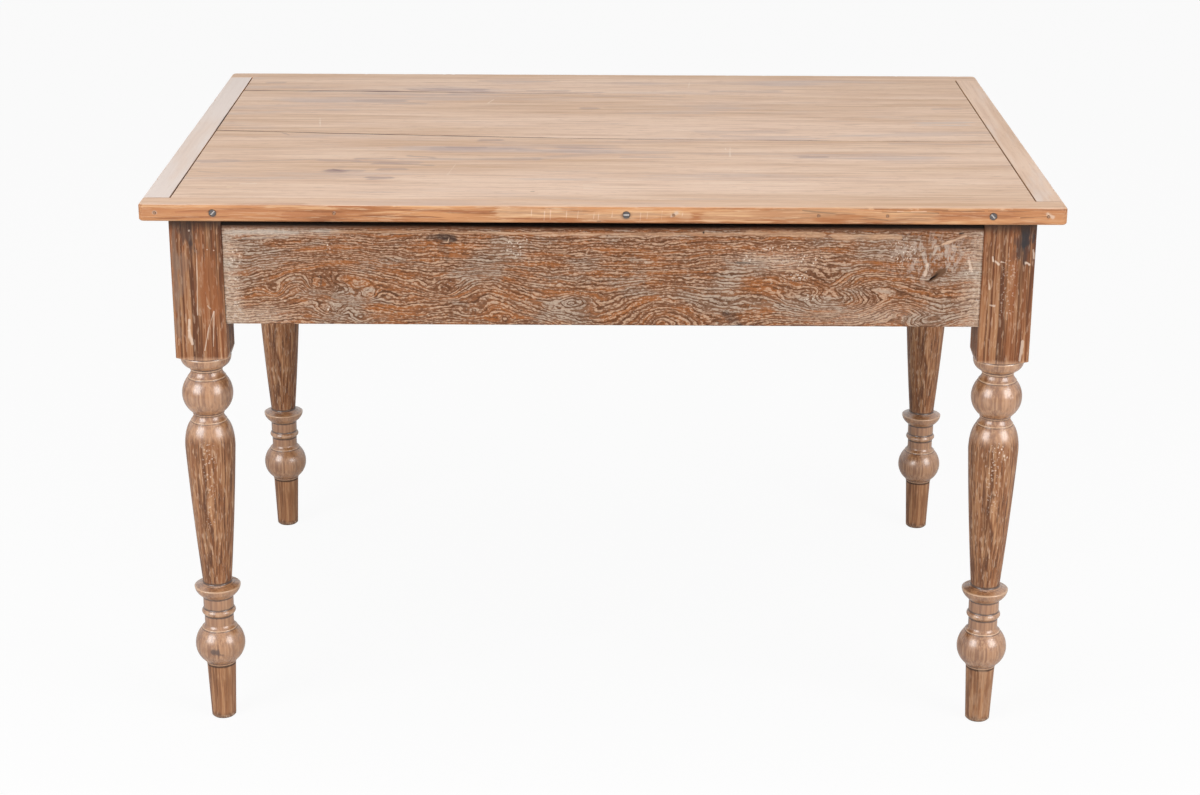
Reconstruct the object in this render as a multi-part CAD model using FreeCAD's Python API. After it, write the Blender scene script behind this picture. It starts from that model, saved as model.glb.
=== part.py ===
import FreeCAD, Part
import math
import os

from FreeCAD import Vector

# A farmhouse kitchen table: a boarded top with a strip along each edge, four turned legs
# and four aprons tenoned into the square blocks of the legs.
# Millimetres, +Z up, origin on the floor under the middle of the top. The front faces -Y.

# Whole table
top_length = 1220.0
top_depth = 860.0
table_height = 770.0

# Top: three boards, two end strips, two long edge strips
top_thickness = 23.0
strip_width = 36.0
plan_corner_radius = 8.0
top_arris = 3.0
under_arris = 2.0
middle_board_width = 279.0
rear_board_width = 131.0
board_taper = 48.0
tongue_thickness = 7.5
board_tongue_length = 8.0
end_tongue_length = 14.0
board_seam = 0.6
end_seam = 1.4

# Frame
side_overhang = 34.0
front_overhang = 28.0
block_width = 70.0
block_height = 198.0
block_arris = 1.5
apron_depth = 150.0
apron_thickness = 24.0
apron_setback = 2.0
apron_arris = 2.0
front_apron_gap = 6.0
front_apron_dip = 7.0
front_apron_round = 5.0

# Mortises and tenons
tenon_length = 42.0
tenon_thickness = 10.0
tenon_lower_shoulder = 14.0
tenon_upper_shoulder = 26.0
mortise_end_gap = 1.0

# Turned leg, heights of the members from the floor up; the vase takes what is left
foot_height = 84.5
foot_fillet_height = 2.5
lower_ball_lower = 26.5
lower_ball_upper = 24.0
lower_cove_height = 9.0
lower_neck_height = 12.5
bead_height = 9.4
collar_neck_height = 18.6
collar_lower = 15.5
collar_upper = 3.3
vase_fillet_height = 2.4
vase_shoulder = 37.5
vase_neck_height = 11.3
ball_fillet_height = 2.2
upper_ball_lower = 26.5
upper_ball_upper = 23.0
cup_cove_height = 12.0
cup_fillet_height = 3.0
cup_height = 17.0
pommel_rise = 5.5

# Turned leg, flats round it and steps along each curve of its outline
turned_sides = 24
arc_steps = 3
curl_steps = 2

# Turned leg, radii to the corners of the flats
foot_tip_radius = 17.1
foot_top_radius = 20.4
foot_arris = 2.0
foot_fillet_radius = 21.2
turning_cut = 0.2
lower_ball_top_radius = 25.2
lower_neck_radius = 20.4
bead_radius = 23.7
collar_neck_radius = 21.2
collar_radius = 32.2
collar_edge_radius = 22.4
vase_fillet_radius = 22.9
vase_foot_radius = 20.0
vase_bow = 1.0
vase_radius = 34.4
vase_top_radius = 25.3
upper_neck_radius = 20.6
ball_fillet_radius = 21.6
upper_ball_top_radius = 26.6
cup_neck_radius = 21.2
cup_fillet_radius = 22.3

# How far a curve's pole lies from its upright end, as a share of the curve's height
cove_pole_share = 0.5
shoulder_pole_share = 0.7
cup_pole_share = 0.75

# Screws and nails in the edge strips
edge_screw_length = 60.0
edge_screw_radius = 2.4
edge_screw_head_radius = 4.7
edge_screw_head_depth = 2.8
edge_screw_inset = 98.0
edge_screw_middle_shift = 31.0
slot_width = 1.2
slot_depth = 1.1
edge_screw_turns = (45.0, 0.0, -45.0)
screw_sides = 6
nail_length = 50.0
nail_width = 1.8
nail_head_width = 2.8
nail_head_depth = 1.2
nail_shares = (-0.482, -0.289, 0.076, 0.232, 0.306, 0.479)

# Buttons that hold the top to the aprons
button_length = 38.0
button_width = 30.0
button_tongue_length = 7.0
button_groove_height = 8.0
button_groove_depth = 8.0
button_groove_drop = 18.0
button_apron_gap = 1.0
button_inset = 150.0
side_button_inset = 110.0
button_screw_radius = 2.0
button_screw_head_radius = 4.0
button_screw_head_depth = 2.4
button_screw_grip = 14.0

# Clearances
joint_gap = 0.15
screw_gap = 0.2

# Derived places
underside = table_height - top_thickness
leg_x = top_length / 2 - side_overhang - block_width / 2
leg_y = top_depth / 2 - front_overhang - block_width / 2
block_bottom = underside - block_height
apron_bottom = underside - apron_depth
full_radius = block_width / 2 - turning_cut
button_thickness = button_groove_drop + button_groove_height - joint_gap

X = Vector(1, 0, 0)
Y = Vector(0, 1, 0)
Z = Vector(0, 0, 1)
ORIGIN = Vector(0, 0, 0)


def box(x0, x1, y0, y1, z0, z1):
    return Part.makeBox(x1 - x0, y1 - y0, z1 - z0, Vector(x0, y0, z0))


def prism(plan, z0, z1):
    """A solid over a plan outline, given as (x, y) corners."""
    corners = [Vector(x, y, z0) for x, y in plan]
    wire = Part.makePolygon(corners + corners[:1])
    return Part.Face(wire).extrude(Z * (z1 - z0))


def edges_where(shape, test):
    return [edge for edge in shape.Edges if test(edge)]


def runs_along(edge, axis):
    ends = [vertex.Point for vertex in edge.Vertexes]
    if len(ends) < 2:
        return False
    way = ends[1] - ends[0]
    return way.Length > 0 and abs(abs(way.dot(axis)) / way.Length - 1) < 1e-6


def facet(corners):
    return Part.Face(Part.makePolygon(corners + corners[:1]))


def stacked(rows, sides):
    """A many-sided solid about the Z axis through rows of (radius, height), from the bottom up."""
    turns = [2 * math.pi * i / sides for i in range(sides)]
    rings = [[Vector(radius * math.cos(turn), radius * math.sin(turn), height) for turn in turns]
             for radius, height in rows]
    faces = [facet(rings[0]), facet(rings[-1])]
    for low, high in zip(rings, rings[1:]):
        for i in range(sides):
            faces.append(facet([low[i - 1], low[i], high[i], high[i - 1]]))
    shell = Part.makeShell(faces)
    shell.sewShape()
    return Part.makeSolid(shell)


class Outline:
    """Half of a turned section, drawn upwards as rows of (radius, height)."""

    def __init__(self, radius, height):
        self.rows = [(radius, height)]

    def height(self):
        return self.rows[-1][1]

    def line(self, radius, height):
        self.rows.append((radius, height))

    def swell(self, radius, height, upright_at_end):
        """Steps along an arc whose tangent is upright at its end, or at its start."""
        end = (radius, height)
        upright, other = (end, self.rows[-1]) if upright_at_end else (self.rows[-1], end)
        rise = other[1] - upright[1]
        reach = upright[0] - other[0]
        size = (rise * rise + reach * reach) / (2 * abs(reach))
        side = math.copysign(1, reach)
        for step in range(1, arc_steps + 1):
            share = 1 - step / arc_steps if upright_at_end else step / arc_steps
            turn = math.asin(rise / size) * share
            self.rows.append((upright[0] - side * size * (1 - math.cos(turn)), upright[1] + size * math.sin(turn)))

    def curl(self, radius, height, upright_at_end, pole_share=cove_pole_share, steps=curl_steps):
        """Steps along a hollow or round: a curve of three poles, upright at its end or its start."""
        start = self.rows[-1]
        pole_radius = radius if upright_at_end else start[0]
        pole_rise = 1 - pole_share if upright_at_end else pole_share
        for step in range(1, steps + 1):
            share = step / steps
            before, between, after = (1 - share) ** 2, 2 * share * (1 - share), share ** 2
            rise = (between * pole_rise + after) * (height - start[1])
            self.rows.append((before * start[0] + between * pole_radius + after * radius, start[1] + rise))

    def bow(self, radius, height, depth):
        """Steps along a shallow curve that stands out by depth from the straight line to its end."""
        start = self.rows[-1]
        for step in range(1, curl_steps + 1):
            share = step / curl_steps
            out = 4 * depth * share * (1 - share)
            self.rows.append((start[0] + (radius - start[0]) * share + out, start[1] + (height - start[1]) * share))


def draw_foot(line):
    line.line(foot_tip_radius, foot_arris)
    line.line(foot_top_radius, foot_height)
    line.line(foot_fillet_radius, foot_height)
    line.line(foot_fillet_radius, foot_height + foot_fillet_height)


def draw_lower_ball(line):
    line.swell(full_radius, line.height() + lower_ball_lower, True)
    line.swell(lower_ball_top_radius, line.height() + lower_ball_upper, False)
    line.curl(lower_neck_radius, line.height() + lower_cove_height, True)


def draw_bead(line):
    line.line(lower_neck_radius, line.height() + lower_neck_height)
    line.curl(bead_radius, line.height() + bead_height / 2, True)
    line.curl(collar_neck_radius, line.height() + bead_height / 2, False)


def draw_collar(line):
    line.line(collar_neck_radius, line.height() + collar_neck_height)
    line.line(collar_edge_radius, line.height())
    line.curl(collar_radius, line.height() + collar_lower, True)
    line.line(vase_fillet_radius, line.height() + collar_upper)
    line.line(vase_foot_radius, line.height() + vase_fillet_height)


def members_above_vase():
    """The height of everything between the widest place of the vase and the block."""
    vase_top = vase_shoulder + vase_neck_height
    ball = ball_fillet_height + upper_ball_lower + upper_ball_upper
    return vase_top + ball + cup_cove_height + cup_fillet_height + cup_height


def draw_vase(line):
    widest = block_bottom - pommel_rise - members_above_vase()
    line.bow(vase_radius, widest, vase_bow)
    line.curl(vase_top_radius, line.height() + vase_shoulder, False, shoulder_pole_share, arc_steps)
    line.curl(upper_neck_radius, line.height() + vase_neck_height, True)


def draw_upper_ball(line):
    line.line(ball_fillet_radius, line.height())
    line.line(ball_fillet_radius, line.height() + ball_fillet_height)
    line.swell(full_radius, line.height() + upper_ball_lower, True)
    line.swell(upper_ball_top_radius, line.height() + upper_ball_upper, False)
    line.curl(cup_neck_radius, line.height() + cup_cove_height, True)


def draw_cup(line):
    line.line(cup_fillet_radius, line.height())
    line.line(cup_fillet_radius, line.height() + cup_fillet_height)
    line.curl(full_radius, line.height() + cup_height, True, cup_pole_share, arc_steps)


def draw_pommel(line):
    """The lathe slopes the block's lower corners, which leaves a bow on each flat face."""
    corner = block_width / 2 * math.sqrt(2)
    line.line(corner, line.height() + pommel_rise)
    line.line(corner, underside)


def turned_leg():
    """A leg about the Z axis, with its square block left at the top and no mortises yet."""
    line = Outline(foot_tip_radius - foot_arris, 0)
    draw_foot(line)
    draw_lower_ball(line)
    draw_bead(line)
    draw_collar(line)
    draw_vase(line)
    draw_upper_ball(line)
    draw_cup(line)
    draw_pommel(line)
    half = block_width / 2
    stock = box(-half, half, -half, half, 0, underside)
    stock = stock.makeFillet(block_arris, edges_where(stock, lambda edge: runs_along(edge, Z)))
    return stock.common(stacked(line.rows, turned_sides))


def tenon_heights():
    return apron_bottom + tenon_lower_shoulder, underside - tenon_upper_shoulder


def tenon_offset():
    """From a block's outer face to the outer face of the tenon."""
    return apron_setback + (apron_thickness - tenon_thickness) / 2


def tenon(length, gap):
    """A tenon along +X from the origin, its outer cheek on -Y, grown by gap for its mortise."""
    low, high = tenon_heights()
    return box(0, length, -gap, tenon_thickness + gap, low - gap, high + gap)


def leg(side_x, side_y):
    """One leg in its place. side_x and side_y are -1 or 1 and say which corner it stands at."""
    solid = turned_leg()
    depth = tenon_length + mortise_end_gap
    half = block_width / 2
    along_x = tenon(depth, joint_gap)
    along_x.translate(Vector(half - depth, -half + tenon_offset(), 0))
    along_y = tenon(depth, joint_gap)
    along_y.rotate(ORIGIN, Z, 90)
    along_y.translate(Vector(-half + tenon_offset() + tenon_thickness, half - depth, 0))
    solid = solid.cut(along_x).cut(along_y)
    # Drawn for the front left corner and turned or mirrored to the others.
    if side_x > 0:
        solid = solid.mirror(ORIGIN, X)
    if side_y > 0:
        solid = solid.mirror(ORIGIN, Y)
    solid.translate(Vector(side_x * leg_x, side_y * leg_y, 0))
    return solid


def apron_board(half_span, end_top, middle_top, round_size):
    """A rail along X between two blocks, its outer face on y = 0 and its body towards +Y."""
    corners = [Vector(-half_span, 0, apron_bottom), Vector(half_span, 0, apron_bottom),
               Vector(half_span, 0, end_top), Vector(-half_span, 0, end_top)]
    sides = [Part.LineSegment(corners[i], corners[i + 1]).toShape() for i in (0, 1)]
    sides.append(Part.LineSegment(corners[3], corners[0]).toShape())
    if middle_top < end_top:
        top = Part.Arc(corners[2], Vector(0, 0, middle_top), corners[3]).toShape()
    else:
        top = Part.LineSegment(corners[2], corners[3]).toShape()
    wire = Part.Wire(Part.__sortEdges__(sides + [top]))
    rail = Part.Face(wire).extrude(Y * apron_thickness)

    def outer_top(edge):
        bounds = edge.BoundBox
        return bounds.YMax < joint_gap and bounds.ZMin > apron_bottom + joint_gap and bounds.XLength > half_span

    def outer_bottom(edge):
        bounds = edge.BoundBox
        return bounds.YMax < joint_gap and bounds.ZMax < apron_bottom + joint_gap and bounds.XLength > half_span

    rail = rail.makeFillet(round_size, edges_where(rail, outer_top))
    return rail.makeFillet(apron_arris, edges_where(rail, outer_bottom))


def apron(half_span, end_top, middle_top, round_size):
    rail = apron_board(half_span, end_top, middle_top, round_size)
    for side in (-1, 1):
        end = tenon(tenon_length, 0)
        if side < 0:
            end = end.mirror(ORIGIN, X)
        end.translate(Vector(side * half_span, tenon_offset() - apron_setback, 0))
        rail = rail.fuse(end)
    groove_top = underside - button_groove_drop
    groove = box(-half_span, half_span, apron_thickness - button_groove_depth, apron_thickness,
                 groove_top - button_groove_height, groove_top)
    return rail.cut(groove).removeSplitter()


def front_apron():
    end_top = underside - front_apron_gap
    rail = apron(leg_x - block_width / 2, end_top, end_top - front_apron_dip, front_apron_round)
    rail.translate(Y * (-leg_y - block_width / 2 + apron_setback))
    return rail


def rear_apron():
    rail = apron(leg_x - block_width / 2, underside, underside, apron_arris)
    rail.rotate(ORIGIN, Z, 180)
    rail.translate(Y * (leg_y + block_width / 2 - apron_setback))
    return rail


def side_apron(side):
    rail = apron(leg_y - block_width / 2, underside, underside, apron_arris)
    rail.rotate(ORIGIN, Z, -90 if side < 0 else 90)
    rail.translate(X * side * (leg_x + block_width / 2 - apron_setback))
    return rail


def top_slab():
    """The whole top as one slab, from which each strip and board takes its part."""
    slab = box(-top_length / 2, top_length / 2, -top_depth / 2, top_depth / 2, underside, table_height)
    slab = slab.makeFillet(plan_corner_radius, edges_where(slab, lambda edge: runs_along(edge, Z)))
    upper = edges_where(slab, lambda edge: edge.BoundBox.ZMin > table_height - joint_gap)
    slab = slab.makeChamfer(top_arris, upper)
    lower = edges_where(slab, lambda edge: edge.BoundBox.ZMax < underside + joint_gap)
    return slab.makeChamfer(under_arris, lower)


def tongue_levels(gap):
    middle = underside + top_thickness / 2
    return middle - tongue_thickness / 2 - gap, middle + tongue_thickness / 2 + gap


def long_strip(slab, side):
    """The full-length strip along the front (side -1) or the rear (side 1)."""
    outer = side * top_depth / 2
    inner = outer - side * strip_width
    strip = slab.common(box(-top_length / 2, top_length / 2, min(outer, inner), max(outer, inner),
                            underside, table_height))
    return strip


def end_strip(slab, side):
    """The strip across an end, between the two long strips, grooved for the board tongues."""
    outer = side * top_length / 2
    inner = outer - side * strip_width
    half = top_depth / 2 - strip_width
    strip = slab.common(box(min(outer, inner), max(outer, inner), -half, half, underside, table_height))
    low, high = tongue_levels(joint_gap)
    bottom = inner + side * (end_tongue_length - end_seam + joint_gap)
    return strip.cut(box(min(inner, bottom), max(inner, bottom), -half, half, low, high))


def seam_line(width):
    """The y of a board seam at the left and the right end, with boards of that width behind it."""
    middle = top_depth / 2 - strip_width - width
    return middle + board_taper / 2, middle - board_taper / 2


def board(front, rear, has_tongue, has_groove):
    """A board between two seams, each given by its y at the left and right end."""
    reach = top_length / 2 - strip_width - end_seam
    low, high = tongue_levels(0)

    def strip_of(front_shift, rear_line, rear_shift, z0, z1, half):
        slope_front = (front[1] - front[0]) / (2 * reach)
        slope_rear = (rear_line[1] - rear_line[0]) / (2 * reach)
        f0 = front[0] + front_shift - slope_front * (half - reach)
        f1 = front[1] + front_shift + slope_front * (half - reach)
        r0 = rear_line[0] + rear_shift - slope_rear * (half - reach)
        r1 = rear_line[1] + rear_shift + slope_rear * (half - reach)
        return prism([(-half, f0), (half, f1), (half, r1), (-half, r0)], z0, z1)

    body = strip_of(0, rear, 0, underside, table_height, reach)
    ends = strip_of(board_tongue_length if has_groove else 0, rear, 0, low, high, reach + end_tongue_length)
    body = body.fuse(ends)
    if has_tongue:
        body = body.fuse(strip_of(0, rear, board_tongue_length, low, high, reach))
    if has_groove:
        low, high = tongue_levels(joint_gap)
        groove = strip_of(-joint_gap, front, board_tongue_length + joint_gap - board_seam, low, high, reach)
        body = body.cut(groove)
    return body.removeSplitter()


def boards():
    """The boards between the long strips. The front one, the widest, takes what is left.

    A rear edge carries a tongue, a front edge its groove.
    """
    front_edge = (-top_depth / 2 + strip_width,) * 2
    rear_edge = (top_depth / 2 - strip_width,) * 2
    first = seam_line(rear_board_width + middle_board_width)
    second = seam_line(rear_board_width)
    after_first = tuple(y + board_seam for y in first)
    after_second = tuple(y + board_seam for y in second)
    return {
        "board_front": board(front_edge, first, True, False),
        "board_middle": board(after_first, second, True, True),
        "board_rear": board(after_second, rear_edge, False, True),
    }


def countersunk(shank_radius, head_radius, head_depth, length, gap):
    """A countersunk screw along -Z with its head's face on z = 0, or its hole with a gap all round."""
    shank_end = -length + 2 * shank_radius
    rows = [(shank_radius / 4 + gap, -length - gap), (shank_radius + gap, shank_end),
            (shank_radius + gap, -head_depth), (head_radius + gap, 0)]
    return stacked(rows, screw_sides)


def edge_screw(turn):
    screw = countersunk(edge_screw_radius, edge_screw_head_radius, edge_screw_head_depth, edge_screw_length, 0)
    slot = box(-edge_screw_head_radius, edge_screw_head_radius, -slot_width / 2, slot_width / 2, -slot_depth, 0)
    slot.rotate(ORIGIN, Z, turn)
    return screw.cut(slot)


def edge_screw_places():
    reach = top_length / 2 - edge_screw_inset
    return (-reach, edge_screw_middle_shift, reach)


def to_edge(shape, x, side):
    """Turns a fastener that points down until it points in from the front or rear edge."""
    shape.rotate(ORIGIN, X, 90 if side < 0 else -90)
    shape.translate(Vector(x, side * top_depth / 2, underside + top_thickness / 2))
    return shape


def edge_screws(side):
    turns = zip(edge_screw_places(), edge_screw_turns)
    return [to_edge(edge_screw(turn), side * -x, side) for x, turn in turns]


def edge_screw_holes(side):
    sizes = (edge_screw_radius, edge_screw_head_radius, edge_screw_head_depth, edge_screw_length)
    return [to_edge(countersunk(*sizes, screw_gap), side * -x, side) for x in edge_screw_places()]


def cut_nail(gap):
    """A square nail along -Z with its head's face on z = 0, grown by gap for its hole."""
    half = nail_width / 2 + gap
    head = nail_head_width / 2 + gap
    shank = box(-half, half, -half, half, -nail_length - gap, 0)
    return shank.fuse(box(-head, head, -head, head, -nail_head_depth - gap, 0)).removeSplitter()


def nails(gap):
    return [to_edge(cut_nail(gap), share * top_length, -1) for share in nail_shares]


def button():
    """A button that points its tongue at -Y, its upper face on z = 0, the apron's face on y = 0."""
    half = button_width / 2
    start = button_apron_gap
    body = box(-half, half, start, start + button_length, -button_thickness, 0)
    tongue_top = -button_groove_drop - joint_gap
    tongue = box(-half, half, -button_tongue_length, start, -button_thickness, tongue_top)
    return body.fuse(tongue).removeSplitter()


def button_screw(gap):
    """The screw that points up through a button, with its head in the button's lower face."""
    length = button_thickness + button_screw_grip
    screw = countersunk(button_screw_radius, button_screw_head_radius, button_screw_head_depth, length, gap)
    screw.rotate(ORIGIN, X, 180)
    screw.translate(Vector(0, button_apron_gap + button_length / 2, -button_thickness))
    return screw


def button_places():
    """x, y and turn of each button, measured to the inner face of its apron."""
    inner_y = leg_y + block_width / 2 - apron_setback - apron_thickness
    inner_x = leg_x + block_width / 2 - apron_setback - apron_thickness
    x_end = leg_x - button_inset
    y_end = leg_y - side_button_inset
    front = [(x, -inner_y, 0) for x in (-x_end, 0, x_end)]
    rear = [(x, inner_y, 180) for x in (-x_end, 0, x_end)]
    left = [(-inner_x, y, -90) for y in (-y_end, y_end)]
    right = [(inner_x, y, 90) for y in (-y_end, y_end)]
    return front + rear + left + right


def at_buttons(make):
    solids = []
    for x, y, turn in button_places():
        solid = make()
        solid.rotate(ORIGIN, Z, turn)
        solid.translate(Vector(x, y, underside))
        solids.append(solid)
    return solids


def drill(shape, tools):
    """Cuts only the tools that reach the shape."""
    near = [tool for tool in tools if tool.BoundBox.intersect(shape.BoundBox)]
    return shape.cut(near) if near else shape


def build():
    nodes = {}
    slab = top_slab()
    holes = edge_screw_holes(-1) + edge_screw_holes(1) + nails(screw_gap)
    holes += at_buttons(lambda: button_screw(screw_gap))
    for name, solid in boards().items():
        nodes[name] = drill(solid, holes)
    nodes["edge_strip_front"] = drill(long_strip(slab, -1), holes)
    nodes["edge_strip_rear"] = drill(long_strip(slab, 1), holes)
    nodes["end_strip_left"] = drill(end_strip(slab, -1), holes)
    nodes["end_strip_right"] = drill(end_strip(slab, 1), holes)
    nodes["edge_screws_front"] = Part.makeCompound(edge_screws(-1))
    nodes["edge_screws_rear"] = Part.makeCompound(edge_screws(1))
    nodes["edge_nails_front"] = Part.makeCompound(nails(0))
    for depth_name, side_y in (("front", -1), ("rear", 1)):
        for side_name, side_x in (("left", -1), ("right", 1)):
            nodes["leg_" + depth_name + "_" + side_name] = leg(side_x, side_y)
    nodes["apron_front"] = front_apron()
    nodes["apron_rear"] = rear_apron()
    nodes["apron_left"] = side_apron(-1)
    nodes["apron_right"] = side_apron(1)
    pierced = [solid.cut(hole) for solid, hole in
               zip(at_buttons(button), at_buttons(lambda: button_screw(screw_gap)))]
    nodes["top_buttons"] = Part.makeCompound(pierced)
    nodes["button_screws"] = Part.makeCompound(at_buttons(lambda: button_screw(0)))
    return nodes


os.makedirs("parts", exist_ok=True)
for node, shape in build().items():
    print(node, len(shape.Solids), "solids, volume", round(shape.Volume), "valid", shape.isValid())
    shape.exportStep("parts/" + node + ".step")
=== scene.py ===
# %% [markdown]
# # A farmhouse kitchen table in old hardwood
# The table has a boarded top with a strip along each edge, four aprons and four turned legs.
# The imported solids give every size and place. This lesson gives them the surface of the real
# one: a scrubbed pale top, warm worn edges, a front apron with raised grain, and waxed legs.

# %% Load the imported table
import math

import bmesh
import bpy
import numpy as np
from mathutils import Matrix, Vector


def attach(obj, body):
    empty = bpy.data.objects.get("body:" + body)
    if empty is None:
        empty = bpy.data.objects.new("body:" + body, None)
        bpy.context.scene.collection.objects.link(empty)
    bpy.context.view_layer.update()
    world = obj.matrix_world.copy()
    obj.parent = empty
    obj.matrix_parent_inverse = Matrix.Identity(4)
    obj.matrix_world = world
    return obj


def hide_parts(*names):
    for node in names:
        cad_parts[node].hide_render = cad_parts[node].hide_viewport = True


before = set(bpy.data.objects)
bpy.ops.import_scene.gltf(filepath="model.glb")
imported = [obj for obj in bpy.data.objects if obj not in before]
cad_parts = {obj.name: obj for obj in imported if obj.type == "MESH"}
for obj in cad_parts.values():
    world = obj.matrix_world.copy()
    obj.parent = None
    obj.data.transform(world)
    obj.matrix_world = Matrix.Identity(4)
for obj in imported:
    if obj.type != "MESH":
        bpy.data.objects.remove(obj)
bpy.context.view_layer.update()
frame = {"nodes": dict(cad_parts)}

nodes = frame["nodes"]
mm = 0.001

# %% [markdown]
# ## Sums for colour
# A finish is a handful of sums on noise: a mask times a strength, one minus a mask. Written as
# nodes, each sum takes a line for the node and one for every link. A small class that wraps a
# socket and overloads the operators lets the sums be read as sums, so that is the way here.

# %% A socket that can be added and multiplied
class Value:
    def __init__(self, nodes, socket):
        self.nodes = nodes
        self.socket = socket

    def __add__(self, other):
        return self.nodes.maths("ADD", self, other)

    def __radd__(self, other):
        return self.nodes.maths("ADD", other, self)

    def __sub__(self, other):
        return self.nodes.maths("SUBTRACT", self, other)

    def __rsub__(self, other):
        return self.nodes.maths("SUBTRACT", other, self)

    def __mul__(self, other):
        return self.nodes.maths("MULTIPLY", self, other)

    def __rmul__(self, other):
        return self.nodes.maths("MULTIPLY", other, self)

    def __truediv__(self, other):
        return self.nodes.maths("DIVIDE", self, other)


# %% Any node in a tree, and the sums and vectors
class Nodes:
    def __init__(self, tree):
        self.tree = tree

    def node(self, kind, settings=None, inputs=None, output=0):
        """A node with its settings, then the values or links of its sockets."""
        made = self.tree.nodes.new(kind)
        for key, value in (settings or {}).items():
            setattr(made, key, value)
        for key, value in (inputs or {}).items():
            for one in value if isinstance(value, list) else [value]:
                self.put(made.inputs[key], one)
        return Value(self, made.outputs[output])

    def put(self, socket, value):
        if isinstance(value, Value):
            self.tree.links.new(value.socket, socket)
        elif socket.type == "RGBA":
            socket.default_value = (*value, 1)
        else:
            socket.default_value = value

    def maths(self, operation, first, second=0.0):
        return self.node("ShaderNodeMath", {"operation": operation}, {0: first, 1: second})

    def triple(self, x=0.0, y=0.0, z=0.0):
        return self.node("ShaderNodeCombineXYZ", {}, {0: x, 1: y, 2: z})

    def part(self, vector, axis):
        """The x, y or z of a vector, by its number."""
        return self.node("ShaderNodeSeparateXYZ", {}, {0: vector}, axis)

    def fade(self, value, low, high):
        """0 below low, 1 above high, smooth between. With low above high it runs the other way."""
        first, last = (0.0, 1.0) if low <= high else (1.0, 0.0)
        ends = {0: value, 1: min(low, high), 2: max(low, high), 3: first, 4: last}
        return self.node("ShaderNodeMapRange", {"interpolation_type": "SMOOTHSTEP"}, ends)


# %% One material and the nodes in it
class Paint(Nodes):
    def __init__(self, name, fibre=(1, 1, 1)):
        self.material = bpy.data.materials.new(name)
        self.material.use_nodes = True
        super().__init__(self.material.node_tree)
        self.shader = self.tree.nodes["Principled BSDF"]
        self.fibre = fibre

    def vector(self, operation, first, second=(0, 0, 0), output=0):
        settings = {"operation": operation}
        return self.node("ShaderNodeVectorMath", settings, {0: first, 1: second}, output)

    def place(self, shift=(0, 0, 0), stretch=(1, 1, 1)):
        """Object coordinates, moved and then stretched. A large stretch makes fine figure."""
        spot = self.node("ShaderNodeTexCoord", output=3)
        return self.vector("MULTIPLY", self.vector("ADD", spot, shift), stretch)

    def bend(self, place, amount, scale):
        """Pushes a place about by soft noise, so that straight figure turns wavy."""
        push = self.node("ShaderNodeTexNoise", {}, {"Vector": place, "Scale": scale, "Detail": 2.0}, 1)
        centred = self.vector("SUBTRACT", push, (0.5, 0.5, 0.5))
        return self.vector("ADD", place, self.vector("MULTIPLY", centred, (amount, amount, amount)))

    def cloud(self, place, detail=3.0, roughness=0.55):
        inputs = {"Vector": place, "Scale": 1.0, "Detail": detail, "Roughness": roughness}
        return self.node("ShaderNodeTexNoise", {}, inputs)

    def mix(self, amount, first, second):
        return self.node("ShaderNodeMix", {"data_type": "RGBA"}, {0: amount, 6: first, 7: second}, 2)

    def mark(self, name):
        """A number that the mesh carries at each of its points."""
        return self.node("ShaderNodeAttribute", {"attribute_name": name}, {}, 2)

    def wave(self, value):
        """Rises and falls once for each whole number."""
        return self.maths("SINE", value * (2 * math.pi))

    def specks(self, scale, shift=(0, 0, 0)):
        """Small ragged dots, about one to each cell of 1/scale metres."""
        place = self.bend(self.place(shift, (scale, scale, scale)), 0.9, 2.2)
        gap = self.node("ShaderNodeTexVoronoi", {}, {"Vector": place, "Scale": 1.0})
        return self.fade(gap, 0.34, 0.20)

    def streak(self, start, end, width, ragged=0.5, grain=60.0):
        """A soft stroke on the object from start to end, drawn out along the fibres."""
        way = [b - a for a, b in zip(start, end)]
        size = sum(w * w for w in way) or 1.0
        away = self.place(tuple(-c for c in start))
        along = self.vector("DOT_PRODUCT", away, tuple(w / size for w in way), 1)
        kept = self.node("ShaderNodeClamp", {}, {0: along})
        inputs = {0: tuple(way), "Scale": kept}
        nearest = self.node("ShaderNodeVectorMath", {"operation": "SCALE"}, inputs)
        gap = self.vector("LENGTH", self.vector("SUBTRACT", away, nearest), output=1)
        rough = self.cloud(self.place((0, 0, 0), tuple(grain * f for f in self.fibre)))
        return self.fade(gap * (1 / width) + (rough - 0.5) * (4 * ragged), 1.0, 0.25)

    def marked(self, colour, marks, ragged=0.5, grain=60.0):
        for start, end, width, stain, amount in marks:
            colour = self.mix(self.streak(start, end, width, ragged, grain) * amount, colour, stain)
        return colour

    def finish(self, colour, roughness, height, depth, strength):
        """The colour, the shine and the bumps that are too fine to be real."""
        self.put(self.shader.inputs["Base Color"], colour)
        self.put(self.shader.inputs["Roughness"], roughness)
        inputs = {"Strength": strength, "Distance": depth, "Height": height}
        self.put(self.shader.inputs["Normal"], self.node("ShaderNodeBump", {}, inputs))
        return self.material


# %% [markdown]
# ## Camera
# The photograph was taken from straight in front, 3.5 m from the middle of the table and
# looking down by 19 degrees. These values come from fitting the table's corners and seams to it.

# %% The camera at the photograph's viewing angle
image_width = 1200
focal_pixels = 2421.9
sensor_width = 36.0
camera_place = Vector((0.003127, -3.508805, 1.569837))
yaw = -0.001853
pitch = 0.33291
roll = 0.004094


def camera_axes():
    level, drop = math.cos(pitch), math.sin(pitch)
    ahead = Vector((math.sin(yaw) * level, math.cos(yaw) * level, -drop))
    right = Vector((math.cos(yaw), -math.sin(yaw), 0))
    up = right.cross(ahead)
    across = right * math.cos(roll) + up * math.sin(roll)
    upward = up * math.cos(roll) - right * math.sin(roll)
    return across, upward, -ahead


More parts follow.
